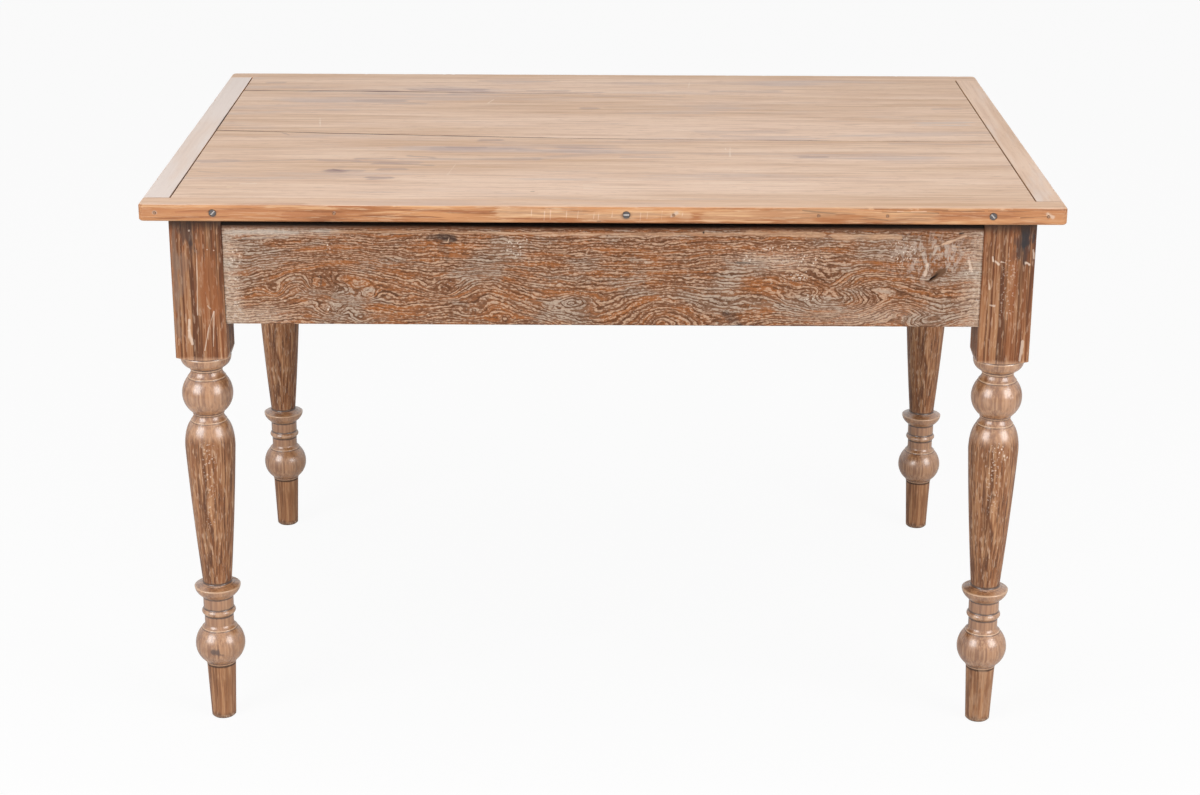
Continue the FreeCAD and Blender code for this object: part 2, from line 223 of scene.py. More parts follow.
camera = bpy.data.objects.new("camera", bpy.data.cameras.new("camera"))
bpy.context.scene.collection.objects.link(camera)
camera.data.sensor_width = sensor_width
camera.data.lens = sensor_width * focal_pixels / image_width
camera.matrix_world = Matrix.Translation(camera_place) @ Matrix(camera_axes()).transposed().to_4x4()
bpy.context.scene.camera = camera
bpy.context.scene.view_settings.view_transform = "Standard"
print("lens", round(camera.data.lens, 2), "mm")

# %% [markdown]
# ## Studio
# The photograph shows two soft highlights on every ball of the legs, about halfway out to the
# left and to the right. So two broad lamps stand well to the sides of the camera. A third,
# weaker and overhead, lights the top. The floor looks white to the camera through Light Path,
# and keeps part of the table's own shadow.

# %% Lamps, floor and white surround
lamps = {
    "left": ((-2.6, -2.7, 1.9), (2.1, 2.2), 81.0),
    "right": ((2.8, -2.5, 1.8), (2.0, 2.2), 74.0),
    "over": ((0.0, -0.3, 3.0), (2.4, 1.8), 20.0),
}
world_strength = 0.31
seen_strength = 0.96
floor_glow = 0.93


def lamp(name, place, size, power):
    data = bpy.data.lights.new(name, "AREA")
    data.shape = "RECTANGLE"
    data.size, data.size_y = size
    data.energy = power
    made = bpy.data.objects.new(name, data)
    bpy.context.scene.collection.objects.link(made)
    made.location = place
    aim = Vector((0, 0, 0.45)) - Vector(place)
    made.rotation_euler = aim.to_track_quat("-Z", "Y").to_euler()


for lamp_name, values in lamps.items():
    lamp("lamp_" + lamp_name, *values)

world = bpy.data.worlds.new("surround")
bpy.context.scene.world = world
world.use_nodes = True
surround = Nodes(world.node_tree)
sky = world.node_tree.nodes["Background"]
camera_ray, through_ray, mirror_ray = [surround.node("ShaderNodeLightPath", output=f"Is {kind} Ray")
                                       for kind in ("Camera", "Transmission", "Glossy")]
seen = surround.maths("MAXIMUM", surround.maths("MAXIMUM", camera_ray, through_ray), mirror_ray)
surround.put(sky.inputs["Strength"],
             surround.node("ShaderNodeMapRange", {}, {0: seen, 3: world_strength, 4: seen_strength}))
surround.put(sky.inputs["Color"], (1, 1, 1))


def floor_finish():
    """A white floor that still shows the table's shadow, because part of it is plain paint."""
    paint = Paint("floor")
    paint.put(paint.shader.inputs["Base Color"], (0.86, 0.86, 0.86))
    paint.put(paint.shader.inputs["Roughness"], 0.9)
    painted = Value(paint, paint.shader.outputs[0])
    glow = paint.node("ShaderNodeEmission", {}, {"Color": (1, 1, 1)})
    share = paint.node("ShaderNodeLightPath") * floor_glow
    blend = paint.node("ShaderNodeMixShader", {}, {0: share, 1: painted, 2: glow})
    paint.put(paint.tree.nodes["Material Output"].inputs[0], blend)
    return paint.material


def floor_sheet():
    mesh = bpy.data.meshes.new("floor")
    reach = 30.0
    sides = [(-reach, -reach, 0), (reach, -reach, 0), (reach, reach, 0), (-reach, reach, 0)]
    mesh.from_pydata(sides, [], [(0, 1, 2, 3)])
    made = bpy.data.objects.new("floor", mesh)
    bpy.context.scene.collection.objects.link(made)
    mesh.materials.append(floor_finish())


floor_sheet()

# %% [markdown]
# ## The sizes that the pieces share
# Each piece replaces its solid, so it takes the same sizes, here in metres.

# %% Sizes of the table
table_height = 0.770
underside = 0.747
edge_middle = (table_height + underside) / 2
half_length = 0.610
half_depth = 0.430
strip_width = 0.036
board_reach = 0.5726
leg_x, leg_y = 0.541, 0.367
half_block = 0.035
apron_face = 0.400
end_face = 0.574
corners = {"front_left": (-1, -1), "front_right": (1, -1), "rear_left": (-1, 1), "rear_right": (1, 1)}


def outward(mesh):
    """Turns the faces round if the closed mesh has them pointing in."""
    work = bmesh.new()
    work.from_mesh(mesh)
    if work.calc_volume(signed=True) < 0:
        bmesh.ops.reverse_faces(work, faces=work.faces)
    open_edges = sum(1 for edge in work.edges if len(edge.link_faces) != 2)
    work.to_mesh(mesh)
    work.free()
    print(mesh.name, "open edges", open_edges)


def keep_marks(mesh, marks):
    """Stores numbers on a mesh, one for each of its points, for its finish to read."""
    for label, values in marks.items():
        layer = mesh.attributes.new(label, "FLOAT", "POINT")
        layer.data.foreach_set("value", np.asarray(values, dtype=np.float32).ravel())


def add_piece(name, mesh, replaced, material):
    """Makes a mesh a piece of the table that stands for one of its solids."""
    made = bpy.data.objects.new(name, mesh)
    bpy.context.scene.collection.objects.link(made)
    mesh.materials.clear()
    mesh.materials.append(material)
    mesh.polygons.foreach_set("use_smooth", [True] * len(mesh.polygons))
    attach(made, "root")
    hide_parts(*replaced)
    print(name, len(mesh.polygons), "faces")


# %% Strokes and stains, placed in millimetres on one face of the table
stains = {
    # On the top
    "purple": (0.30, 0.20, 0.19), "smoky": (0.40, 0.29, 0.265), "scratch": (0.86, 0.72, 0.60),
    "plum": (0.26, 0.16, 0.15), "deep_plum": (0.17, 0.10, 0.10), "mist": (0.60, 0.50, 0.47),
    "straw": (0.80, 0.62, 0.42), "crack": (0.10, 0.045, 0.02),
    # On the front edge
    "rosy": (0.40, 0.15, 0.06), "filler": (0.52, 0.41, 0.35), "bare": (0.74, 0.60, 0.48),
    "pale_amber": (0.84, 0.58, 0.36), "amber": (0.73, 0.47, 0.27), "rust": (0.16, 0.09, 0.055),
    # On the front apron
    "lime": (0.50, 0.43, 0.36), "cream": (0.66, 0.45, 0.31), "honey": (0.62, 0.375, 0.225),
    "soot": (0.035, 0.026, 0.024), "whitewash": (0.60, 0.54, 0.47), "umber": (0.24, 0.17, 0.13),
    "deep_umber": (0.22, 0.15, 0.11), "pale_umber": (0.28, 0.19, 0.14), "burnt": (0.14, 0.06, 0.03),
    "dust": (0.58, 0.44, 0.33),
    # On the legs
    "blue_black": (0.030, 0.026, 0.028), "knot_brown": (0.07, 0.028, 0.015),
    "russet": (0.30, 0.10, 0.032), "ash": (0.24, 0.155, 0.11), "chalk": (0.72, 0.56, 0.44),
    "bark": (0.42, 0.20, 0.09), "sand": (0.56, 0.36, 0.225), "chalk_dots": (0.78, 0.62, 0.49),
}


def on_face(table, to_space):
    """Reads marks from text: where each starts and ends, half its width, its stain and how much."""
    marks = []
    for row in filter(None, table.split(";")):
        *numbers, stain, amount = row.split()
        x0, y0, x1, y1, width = map(float, numbers)
        marks.append((to_space(x0, y0), to_space(x1, y1), width * mm, stains[stain], float(amount)))
    return marks


def on_top(x, y):
    return x * mm, y * mm, table_height


def on_front_edge(x, z):
    return x * mm, -half_depth, z * mm


def on_front_apron(x, z):
    return x * mm, -apron_face, z * mm


def on_front_leg(x, z):
    return x * mm, -leg_y - half_block, z * mm


# %% [markdown]
# ## The outline of a leg
# A leg is turned from a square stick on a lathe. The turner works to an outline: straight runs,
# rounds and hollows, and thin lines cut in with the point of the tool. The same outline is
# written here in millimetres as a short list, and walked in small steps. Each step also notes
# how proud or how sunk it is, because wax and dirt stay in hollows while rims wear pale.

# %% The strokes that an outline is drawn with
full_radius = 34.8
cut_depth = 1.0
cut_half = 0.8


class Turning:
    """A leg's outline as it is drawn upwards, in rows of (radius, height)."""

    def __init__(self, radius, height):
        self.rows = [(0.0, height), (radius, height)]

    def line(self, radius, height, step=2.4):
        r0, z0 = self.rows[-1]
        out, up = radius - r0, height - z0
        count = max(1, round(math.hypot(out, up) / step))
        self.rows += [(r0 + out * i / count, z0 + up * i / count) for i in range(1, count + 1)]

    def arc(self, radius, height, upright_at_end, step=1.1):
        """Steps along an arc that stands upright at its end, or at its start."""
        end = (radius, height)
        (r0, z0), (r1, z1) = (end, self.rows[-1]) if upright_at_end else (self.rows[-1], end)
        rise, reach = z1 - z0, r0 - r1
        size = (rise * rise + reach * reach) / (2 * abs(reach))
        turn = math.asin(rise / size)
        side = math.copysign(1, reach)
        count = max(3, round(abs(size * turn) / step))
        for i in range(1, count + 1):
            part = turn * (1 - i / count if upright_at_end else i / count)
            self.rows.append((r0 - side * size * (1 - math.cos(part)), z0 + size * math.sin(part)))

    def curl(self, radius, height, upright_at_end, share=0.5, step=0.8):
        """Steps along a hollow or round drawn with three poles, upright at its end or its start."""
        r0, z0 = self.rows[-1]
        pole = radius if upright_at_end else r0
        rise = 1 - share if upright_at_end else share
        count = max(4, round(math.hypot(radius - r0, height - z0) / step))
        for i in range(1, count + 1):
            t = i / count
            a, b, c = (1 - t) ** 2, 2 * t * (1 - t), t * t
            self.rows.append((a * r0 + b * pole + c * radius, z0 + (b * rise + c) * (height - z0)))

    def bow(self, radius, height, depth, count=90):
        r0, z0 = self.rows[-1]
        for i in range(1, count + 1):
            t = i / count
            self.rows.append((r0 + (radius - r0) * t + 4 * depth * t * (1 - t), z0 + (height - z0) * t))

    def cut_line(self):
        """A thin V cut in with the point of the tool."""
        radius, height = self.rows[-1]
        self.rows.append((radius - cut_depth, height + cut_half))
        self.rows.append((radius - cut_depth / 3, height + 2 * cut_half))


# %% The outline, member by member, from the floor up
def lower_outline(leg):
    leg.line(17.1, 2.0, 0.8)
    leg.line(20.4, 84.5)
    leg.line(21.2, 84.5)
    leg.line(21.2, 87.0, 1.0)
    leg.arc(full_radius, 113.5, True)
    leg.arc(25.2, 137.5, False)
    leg.cut_line()
    leg.curl(20.4, 146.5, True)
    leg.line(20.4, 159.0, 1.8)
    leg.curl(23.7, 163.7, True, step=0.5)
    leg.curl(21.2, 168.4, False, step=0.5)
    leg.line(21.2, 187.0, 1.8)
    leg.line(22.4, 187.0)
    leg.curl(32.2, 202.5, True)
    leg.line(22.9, 205.8, 1.2)
    leg.line(20.0, 208.2, 1.0)


def upper_outline(leg):
    leg.bow(34.4, 411.0, 1.0)
    leg.curl(25.3, 448.5, False, 0.7, 1.1)
    leg.cut_line()
    leg.curl(20.6, 459.8, True)
    leg.line(21.6, 459.8)
    leg.line(21.6, 462.0, 1.0)
    leg.arc(full_radius, 488.5, True)
    leg.arc(26.6, 511.5, False)
    leg.cut_line()
    leg.curl(21.2, 523.5, True)
    leg.line(22.3, 523.5)
    leg.line(22.3, 526.5, 1.0)
    leg.curl(full_radius, 543.5, True, 0.75)
    leg.cut_line()
    leg.line(49.5, 549.0, 0.7)
    leg.line(49.5, 747.0, 2.6)
    leg.rows.append((0.0, 747.0))


def how_proud(rows):
    """+1 on a sharp rim and -1 in a sharp hollow, from the turn of the outline at each row."""
    spots = np.array(rows)
    ways = np.diff(spots, axis=0)
    sizes = np.hypot(ways[:, 0], ways[:, 1]) + 1e-9
    bends = (ways[:-1, 1] * ways[1:, 0] - ways[:-1, 0] * ways[1:, 1]) / (sizes[:-1] * sizes[1:])
    bends = np.concatenate([[0], -bends, [0]])
    bends[:2] = bends[-2:] = 0
    return np.clip(np.convolve(bends, [0.25, 0.5, 0.25], "same") * 1.6, -1, 1)


drawn_leg = Turning(15.1, 0)
lower_outline(drawn_leg)
upper_outline(drawn_leg)
outline = [(radius * mm, height * mm) for radius, height in drawn_leg.rows]
proud = how_proud(drawn_leg.rows)
print("outline rows", len(outline), "top", round(outline[-1][1], 4))

# %% [markdown]
# ## Turning the leg with Geometry Nodes
# Turning is a rule: at each height the radius is the smaller of the outline's and the square
# stick's. That one rule also makes the bow that the lathe leaves on the block's lower edge. A
# Geometry Nodes tree states it once, with named inputs, and a grid of points follows it. A
# second rule takes off a little wood for wear: fine lines along the fibres, and dents.

# %% A short way to write a Geometry Nodes tree
class Tree(Nodes):
    def __init__(self, name, inputs):
        """inputs gives each input's kind and its usual value, by its name."""
        super().__init__(bpy.data.node_groups.new(name, "GeometryNodeTree"))
        face = self.tree.interface
        face.new_socket("Geometry", in_out="INPUT", socket_type="NodeSocketGeometry")
        self.names, self.usual = {}, {}
        for label, (kind, value) in inputs.items():
            socket = face.new_socket(label, in_out="INPUT", socket_type="NodeSocket" + kind)
            if value is not None:
                socket.default_value = self.usual[label] = value
            self.names[label] = socket.identifier
        face.new_socket("Geometry", in_out="OUTPUT", socket_type="NodeSocketGeometry")
        self.source = self.tree.nodes.new("NodeGroupInput")
        self.sink = self.tree.nodes.new("NodeGroupOutput")

    def asked(self, label):
        return Value(self, self.source.outputs[label])

    def close(self, geometry, material):
        """Real geometry, then the material: the two nodes that every tree here ends in."""
        real = self.node("GeometryNodeRealizeInstances", {}, {0: geometry})
        done = self.node("GeometryNodeSetMaterial", {}, {0: real, "Material": material})
        self.put(self.sink.inputs[0], done)

    def run(self, mesh, values, name):
        """Runs the tree on a mesh and returns the result as a plain mesh."""
        carrier = bpy.data.objects.new(name, mesh)
        bpy.context.scene.collection.objects.link(carrier)
        modifier = carrier.modifiers.new("tree", "NODES")
        modifier.node_group = self.tree
        for label, value in {**self.usual, **values}.items():
            modifier[self.names[label]] = value
        graph = bpy.context.evaluated_depsgraph_get()
        made = bpy.data.meshes.new_from_object(carrier.evaluated_get(graph))
        bpy.data.objects.remove(carrier)
        made.name = name
        return made


# %% The tree that turns a leg
def turning_tree():
    tree = Tree("turned leg", {
        "Sides": ("Int", 144), "Half Block": ("Float", half_block), "Block Corner": ("Float", 0.0483),
        "Fibre Depth": ("Float", 0.00011), "Dent Depth": ("Float", 0.0005), "Seed": ("Float", 0.0),
        "Wood": ("Material", None)})
    line, sides = tree.asked("Geometry"), tree.asked("Sides")
    rows = tree.node("GeometryNodeAttributeDomainSize", {"component": "MESH"}, {0: line})
    grid = tree.node("GeometryNodeMeshGrid", {}, {"Vertices X": sides + 1.0, "Vertices Y": rows})
    index = tree.node("GeometryNodeInputIndex")
    column = tree.maths("FLOOR", (index + 0.25) / rows)
    row = index - column * rows
    turn = column / sides * (2 * math.pi)

    def sampled(value, kind="FLOAT"):
        settings = {"data_type": kind, "domain": "POINT"}
        inputs = {"Geometry": line, "Value": value, "Index": row}
        return tree.node("GeometryNodeSampleIndex", settings, inputs)

    place = sampled(tree.node("GeometryNodeInputPosition"), "FLOAT_VECTOR")
    height = tree.part(place, 2)
    cos, sin = tree.maths("COSINE", turn), tree.maths("SINE", turn)
    flat = tree.maths("MAXIMUM", tree.maths("ABSOLUTE", cos), tree.maths("ABSOLUTE", sin))
    stick = tree.maths("MINIMUM", tree.asked("Half Block") / flat, tree.asked("Block Corner"))
    radius = tree.maths("MINIMUM", tree.part(place, 0), stick)

    def wear(scale_round, scale_up, low, high, shift):
        """Noise about the leg, kept between two limits: 0 where no wood has gone."""
        way = tree.triple(cos * scale_round, sin * scale_round, height * scale_up)
        cloud = tree.node("ShaderNodeTexNoise", {"noise_dimensions": "4D"}, {
            "Vector": way, "W": tree.asked("Seed") + shift, "Scale": 1.0, "Detail": 2.0})
        return tree.fade(cloud, low, high)

    fibres = wear(13.0, 9.0, 0.45, 0.75, 0.0) * tree.asked("Fibre Depth")
    dents = wear(2.6, 55.0, 0.66, 0.80, 7.0) * tree.asked("Dent Depth")
    kept = tree.maths("MAXIMUM", radius - fibres - dents, 0.0)
    spot = tree.triple(kept * cos, kept * sin, height)
    shape = tree.node("GeometryNodeSetPosition", {}, {"Geometry": grid, "Position": spot})
    named = tree.node("GeometryNodeInputNamedAttribute", {"data_type": "FLOAT"}, {"Name": "proud"})
    settings = {"data_type": "FLOAT", "domain": "POINT"}
    inputs = {"Geometry": shape, "Name": "proud", "Value": sampled(named)}
    marked = tree.node("GeometryNodeStoreNamedAttribute", settings, inputs)
    weld = {"Geometry": marked, "Distance": 0.00001}
    tree.close(tree.node("GeometryNodeMergeByDistance", {}, weld), tree.asked("Wood"))
    return tree


leg_tree = turning_tree()
print("nodes that turn a leg:", len(leg_tree.tree.nodes))

# %% [markdown]
# ## Waxed leg wood
# The legs show fine dark pores and lighter fibres that run up the stick, paler rims, dark
# hollows and cut lines, and a soft shine of wax. Noise that is squeezed across the stick and
# drawn out along it gives fibres. The number that the outline carries picks rims and hollows.

# %% The finish of a leg
def leg_finish(name, centre, marks, specks):
    paint = Paint(name, (1, 1, 0.3))
    shift = (-centre[0], -centre[1], 0)
    waved = paint.bend(paint.place(shift), 0.005, 7.0)

    def drawn(across, along):
        return paint.vector("MULTIPLY", waved, (across, across, along))

    height = paint.part(paint.place(), 2)
    block = paint.fade(height, 0.546, 0.552)
    vase = paint.fade(height, 0.205, 0.215) * paint.fade(height, 0.436, 0.420)
    broad = paint.cloud(drawn(40, 2.0))
    fibre = paint.cloud(drawn(210, 5), 3.0, 0.6)
    threads = paint.cloud(drawn(360, 7), 3.0, 0.6)
    pores = paint.fade(threads, 0.52, 0.61)
    flecks = paint.fade(paint.cloud(drawn(380, 75), 2.0, 0.5), 0.57, 0.67)
    tone = paint.fade(broad, 0.38, 0.62)
    turned = paint.mix(tone, (0.25, 0.103, 0.040), (0.415, 0.195, 0.085))
    deep = paint.mix(tone, (0.150, 0.053, 0.018), (0.27, 0.102, 0.036))
    square = paint.mix(tone, (0.105, 0.036, 0.014), (0.225, 0.074, 0.025))
    foot_part = paint.fade(height, 0.088, 0.082)
    colour = paint.mix(vase + foot_part * 0.6, turned, deep)
    colour = paint.mix(block, colour, square)
    rubbed = 0.5 - block * 0.12
    colour = paint.mix(paint.fade(fibre, 0.46, 0.62) * rubbed, colour, (0.52, 0.265, 0.125))
    colour = paint.mix(paint.fade(threads, 0.46, 0.37) * rubbed, colour, (0.56, 0.315, 0.165))
    dark = 0.26 + vase * 0.42 + block * 0.42
    colour = paint.mix(pores * dark, colour, (0.080, 0.027, 0.012))
    colour = paint.mix(flecks * (vase * 0.42 + block * 0.30), colour, (0.64, 0.44, 0.30))
    proud = paint.mark("proud")
    rough_rim = paint.cloud(paint.place(shift, (140, 140, 60)), 2.0)
    turned_part = paint.fade(height, 0.5475, 0.545)
    rim = paint.fade(proud + (rough_rim - 0.5) * 0.5, 0.02, 0.40) * turned_part * 0.8
    hollow = paint.fade(proud + (rough_rim - 0.5) * 0.3, -0.08, -0.42)
    colour = paint.mix(rim, colour, (0.66, 0.41, 0.24))
    colour = paint.mix(hollow * 0.9, colour, (0.06, 0.024, 0.011))
    foot = paint.fade(height + (rough_rim - 0.5) * 0.02, 0.012, 0.002)
    colour = paint.mix(foot * 0.75, colour, paint.mix(flecks, (0.10, 0.045, 0.025), (0.62, 0.50, 0.40)))
    colour = paint.marked(colour, marks, 1.0, 110.0)
    dots = paint.specks(230.0)
    for start, end, width, stain, amount in specks:
        colour = paint.mix(paint.streak(start, end, width, 0.7, 60.0) * dots * amount, colour, stain)
    # Painted shadow: the top of each block darkens where the overhanging top shades it.
    painted_shade_under_top = paint.fade(height + (rough_rim - 0.5) * 0.008, 0.724, 0.740)
    colour = paint.mix(painted_shade_under_top * 0.85, colour, (0.045, 0.024, 0.015))
    paint.put(paint.shader.inputs["Coat Weight"], 1.0 - block * 0.95 - vase * 0.85 - foot_part * 0.75)
    paint.put(paint.shader.inputs["Coat Roughness"], 0.26)
    paint.put(paint.shader.inputs["Coat IOR"], 1.85)
    paint.put(paint.shader.inputs["Specular IOR Level"], 0.25)
    shine = 0.42 + paint.fade(fibre, 0.3, 0.7) * 0.12 + hollow * 0.25 + block * 0.15
    return paint.finish(colour, shine, fibre - pores * 0.6, 0.0005, 0.5)


# %% Four legs
# On each front leg, the blue_black stroke across the whole block at 742 mm is painted shadow under the
# top.
leg_marks = {
    "front_left": """
    -569 735 -569 580 6 ash .55; -560 690 -562 640 9 ash .4; -530 700 -518 620 13 russet .55;
    -536 640 -528 600 9 russet .45; -556 734 -549 716 15 blue_black .6;
    -548 706 -541 698 9 blue_black .4; -566 742 -520 742 5 blue_black .5;
    -540 700 -543 610 .7 chalk .55; -555 603 -556 588 1.9 chalk .7; -556 588 -552 569 2.3 chalk .7;
    -521 615 -529 592 .8 chalk .6; -529 592 -536 560 .9 chalk .6; -521 615 -524 566 .8 chalk .5;
    -526 701 -526 701 1.5 chalk .9; -517 700 -517 700 1.1 chalk .8; -549 727 -549 727 1.5 chalk .7;
    -529 623 -526 619 1.6 chalk .5; -528 264 -528 262 5 knot_brown .85;
    -531 300 -527 240 2.2 knot_brown .5; -546 113 -542 111 5 knot_brown .85;
    -536 108 -533 107 2.5 knot_brown .6; -538 80 -533 79 3 knot_brown .5;
    -534 62 -530 60 4 knot_brown .35""",
    "front_right": """
    561 740 564 716 9 blue_black .9; 556 722 552 698 9 blue_black .6;
    566 712 562 692 7 blue_black .55; 532 742 572 743 4 blue_black .5;
    512 735 510 560 3.5 bark .6; 548 700 546 560 5 russet .35;
    523 690 527 686 2.6 chalk .8; 531 689 536 688 2 chalk .75; 519 696 520 690 1.5 chalk .8;
    565 688 568 686 2.6 chalk .85; 572 706 574 694 1.8 chalk .7; 534 679 534 678 1.4 chalk .8;
    515 664 517 652 2.2 chalk .55; 519 629 525 628 1.8 chalk .6; 566 578 563 551 1.9 chalk .6;
    541 352 541 352 4 knot_brown .5; 541 76 541 8 26 sand .3""",
}
leg_specks = {
    "front_left": "-541 420 -535 300 12 chalk_dots .55",
    "front_right": """
    536 424 558 408 11 chalk_dots .9; 534 400 536 330 12 chalk_dots .5;
    540 620 545 690 14 chalk_dots .3""",
}


def outline_mesh():
    mesh = bpy.data.meshes.new("leg outline")
    mesh.from_pydata([(radius, 0, height) for radius, height in outline],
                     [(i, i + 1) for i in range(len(outline) - 1)], [])
    keep_marks(mesh, {"proud": proud})
    return mesh


def turned_leg(corner, seed):
    side_x, side_y = corners[corner]
    centre = (side_x * leg_x, side_y * leg_y)
    marks, specks = [on_face(table.get(corner, ""), on_front_leg) for table in (leg_marks, leg_specks)]
    wood = leg_finish("waxed leg " + corner, centre, marks, specks)
    mesh = leg_tree.run(outline_mesh(), {"Seed": float(seed), "Wood": wood}, "turned_leg_" + corner)
    mesh.transform(Matrix.Translation((*centre, 0)))
    outward(mesh)
    add_piece("turned_leg_" + corner, mesh, ["leg_" + corner], wood)


for number, corner in enumerate(corners):
    turned_leg(corner, 11 + 7 * number)

# %% [markdown]
# ## Soft noise for shapes
# Wear and grain are shapes here, not only colour, so they are worked out on whole arrays of
# points at once. A table of random numbers, blended smoothly from cell to cell, gives noise that
# is the same on each run, and layers of finer and finer cells make it look natural.

# %% Soft noise on a plane
def soft_noise(x, z, step_x, step_z, seed):
    """Smooth noise between 0 and 1 with cells of the given size."""
    u, v = x / step_x + 97.0, z / step_z + 53.0
    column, line = np.floor(u).astype(int), np.floor(v).astype(int)
    a, b = u - column, v - line
    a, b = a * a * (3 - 2 * a), b * b * (3 - 2 * b)
    table = np.random.RandomState(seed).rand(256, 256)

    def at(i, j):
        return table[(column + i) % 256, (line + j) % 256]

    low = at(0, 0) * (1 - a) + at(1, 0) * a
    high = at(0, 1) * (1 - a) + at(1, 1) * a
    return low * (1 - b) + high * b


def layered(x, z, step_x, step_z, seed, layers=3):
    total, weight = 0, 0
    for i in range(layers):
        total = total + soft_noise(x, z, step_x / 2 ** i, step_z / 2 ** i, seed + i) / 2 ** i
        weight += 1 / 2 ** i
    return total / weight


def ramp(values, low, high):
    return np.clip((values - low) / (high - low), 0, 1)


# %% [markdown]
# ## The scrubbed top and its warm edges
# Years of scrubbing left the top pale, with soft lines along the boards, purple-grey streaks
# where water got in, and light scratches. The edges show the colour under the grey: orange, with
# fine lines. One finish serves all seven pieces of the top: it turns warm where a face looks
# sideways, dark where the seams hold dirt and pale where an arris is worn.

# %% Marks on the top and on the front edge
top_marks = on_face("""
    -372 -237 -368 -237 20 smoky .4; -376 -237 -364 -238 13 plum .7;
    -374 -232 -368 -236 6 deep_plum .6; -352 -236 -338 -240 10 smoky .45;
    -317 -280 -292 -279 9 purple .6; -398 -180 -345 -181 8 smoky .5;
    -347 -169 -298 -168 9 purple .55; -340 -186 -262 -196 12 smoky .4;
    -307 -230 -279 -229 10 purple .45; -320 -196 -240 -206 7 purple .4;
    -287 -170 -92 -166 9 smoky .45; -276 -150 -240 -160 7 purple .45;
    -239 -104 -141 -101 14 smoky .4; -220 -96 -170 -98 7 purple .35; -141 -91 13 -88 18 smoky .34;
    -120 -110 -20 -120 10 smoky .4; -178 -52 -153 -52 9 purple .5; -92 -166 5 -121 12 smoky .3;
    -59 -100 -10 -99 16 smoky .4; 29 -152 98 -150 9 smoky .36; -572 -184 -519 -183 12 smoky .45;
    -560 -196 -400 -172 5 smoky .3; -556 -250 -530 -253 6 smoky .35; 283 -147 313 -146 8 purple .5;
    272 -138 290 -140 9 smoky .4; -474 -6 -462 -22 4 purple .55; 420 -60 560 -62 8 smoky .3;
    143 10 266 12 16 smoky .32; 180 -20 300 -18 10 smoky .3; 487 80 539 81 22 mist .5;
    510 177 552 178 9 smoky .45; -384 216 -315 218 13 smoky .48; -340 196 -280 200 8 smoky .35;
    -30 166 -14 166 10 purple .4; -460 293 -330 291 11 purple .45; -305 301 -195 303 13 purple .48;
    -237 278 -9 283 13 smoky .5; -120 300 -60 296 9 purple .35; 175 298 273 300 13 smoky .36;
    -10 262 120 258 9 smoky .28; -540 352 -520 352 9 smoky .4; -200 372 -90 370 8 smoky .35;
    -429 93 -422 32 1.1 scratch .6; -180 205 -172 232 1.5 scratch .55;
    136 330 139 368 1.2 scratch .5; 176 -106 176 -92 1.2 scratch .5; 183 -87 180 -149 1 scratch .45;
    -26 -315 -6 -315 2.2 scratch .6; -24 -335 -14 -336 2.2 scratch .5;
    -490 -318 -470 -316 2.2 scratch .5; -214 -262 -206 -196 .9 scratch .35;
    -505 -336 -501 -336 3 straw .7; -96 -352 -93 -352 2.6 crack .6""", on_top)
edge_table = """
    -600 758 -400 760 14 rosy .36; 440 760 604 758 14 rosy .34; 262 766 374 753 .9 crack .85;
    300 767 390 764 1.2 rosy .7; 366 764 440 763 1 crack .75; 372 767 452 767 1.3 crack .6;
    445 765 500 766 .9 crack .65; 460 762 540 764 .7 rosy .7; 505 766 560 766 .9 crack .45;
    386 765 394 765 1 scratch .5; 404 765 424 765 .8 scratch .5; 548 757 586 759 .8 crack .6;
    583 762 590 758 3 bare .5; 90 757 97 762 3.6 filler .75;
    -588 759 -588 759 3.4 filler .6; -352 759 -352 759 2.8 filler .6; 283 759 283 759 2.6 filler .6;
    373 759 373 759 2.4 filler .5; -7 749 -3 749 2 crack .6; -560 760 -440 762 1.6 rosy .5;
    -420 757 -250 760 1.2 rosy .6; -300 763 -150 762 .9 rosy .6; 40 755 210 755 1 rosy .6;
    120 760 260 761 .9 rosy .6; -130 760 110 759 9 pale_amber .32; 140 759 430 760 12 amber .28;"""
ticks = (-94, -77, -69, -48, -33, -12, -6, 12, 49, 58, 77, 104)
screw_spots = (-512, 31, 512)
edge_table += "".join(f"{x} {751 + x % 7} {x + 1} {766 - x % 5} .6 scratch .3;" for x in ticks)
# A dark ring round each screw head is painted shade of its sunk hole.
edge_table += ";".join(f"{x} 758.5 {x} 758.5 6.4 rust .6" for x in screw_spots)
edge_marks = on_face(edge_table, on_front_edge)
print("marks on the top", len(top_marks), "on the front edge", len(edge_marks))


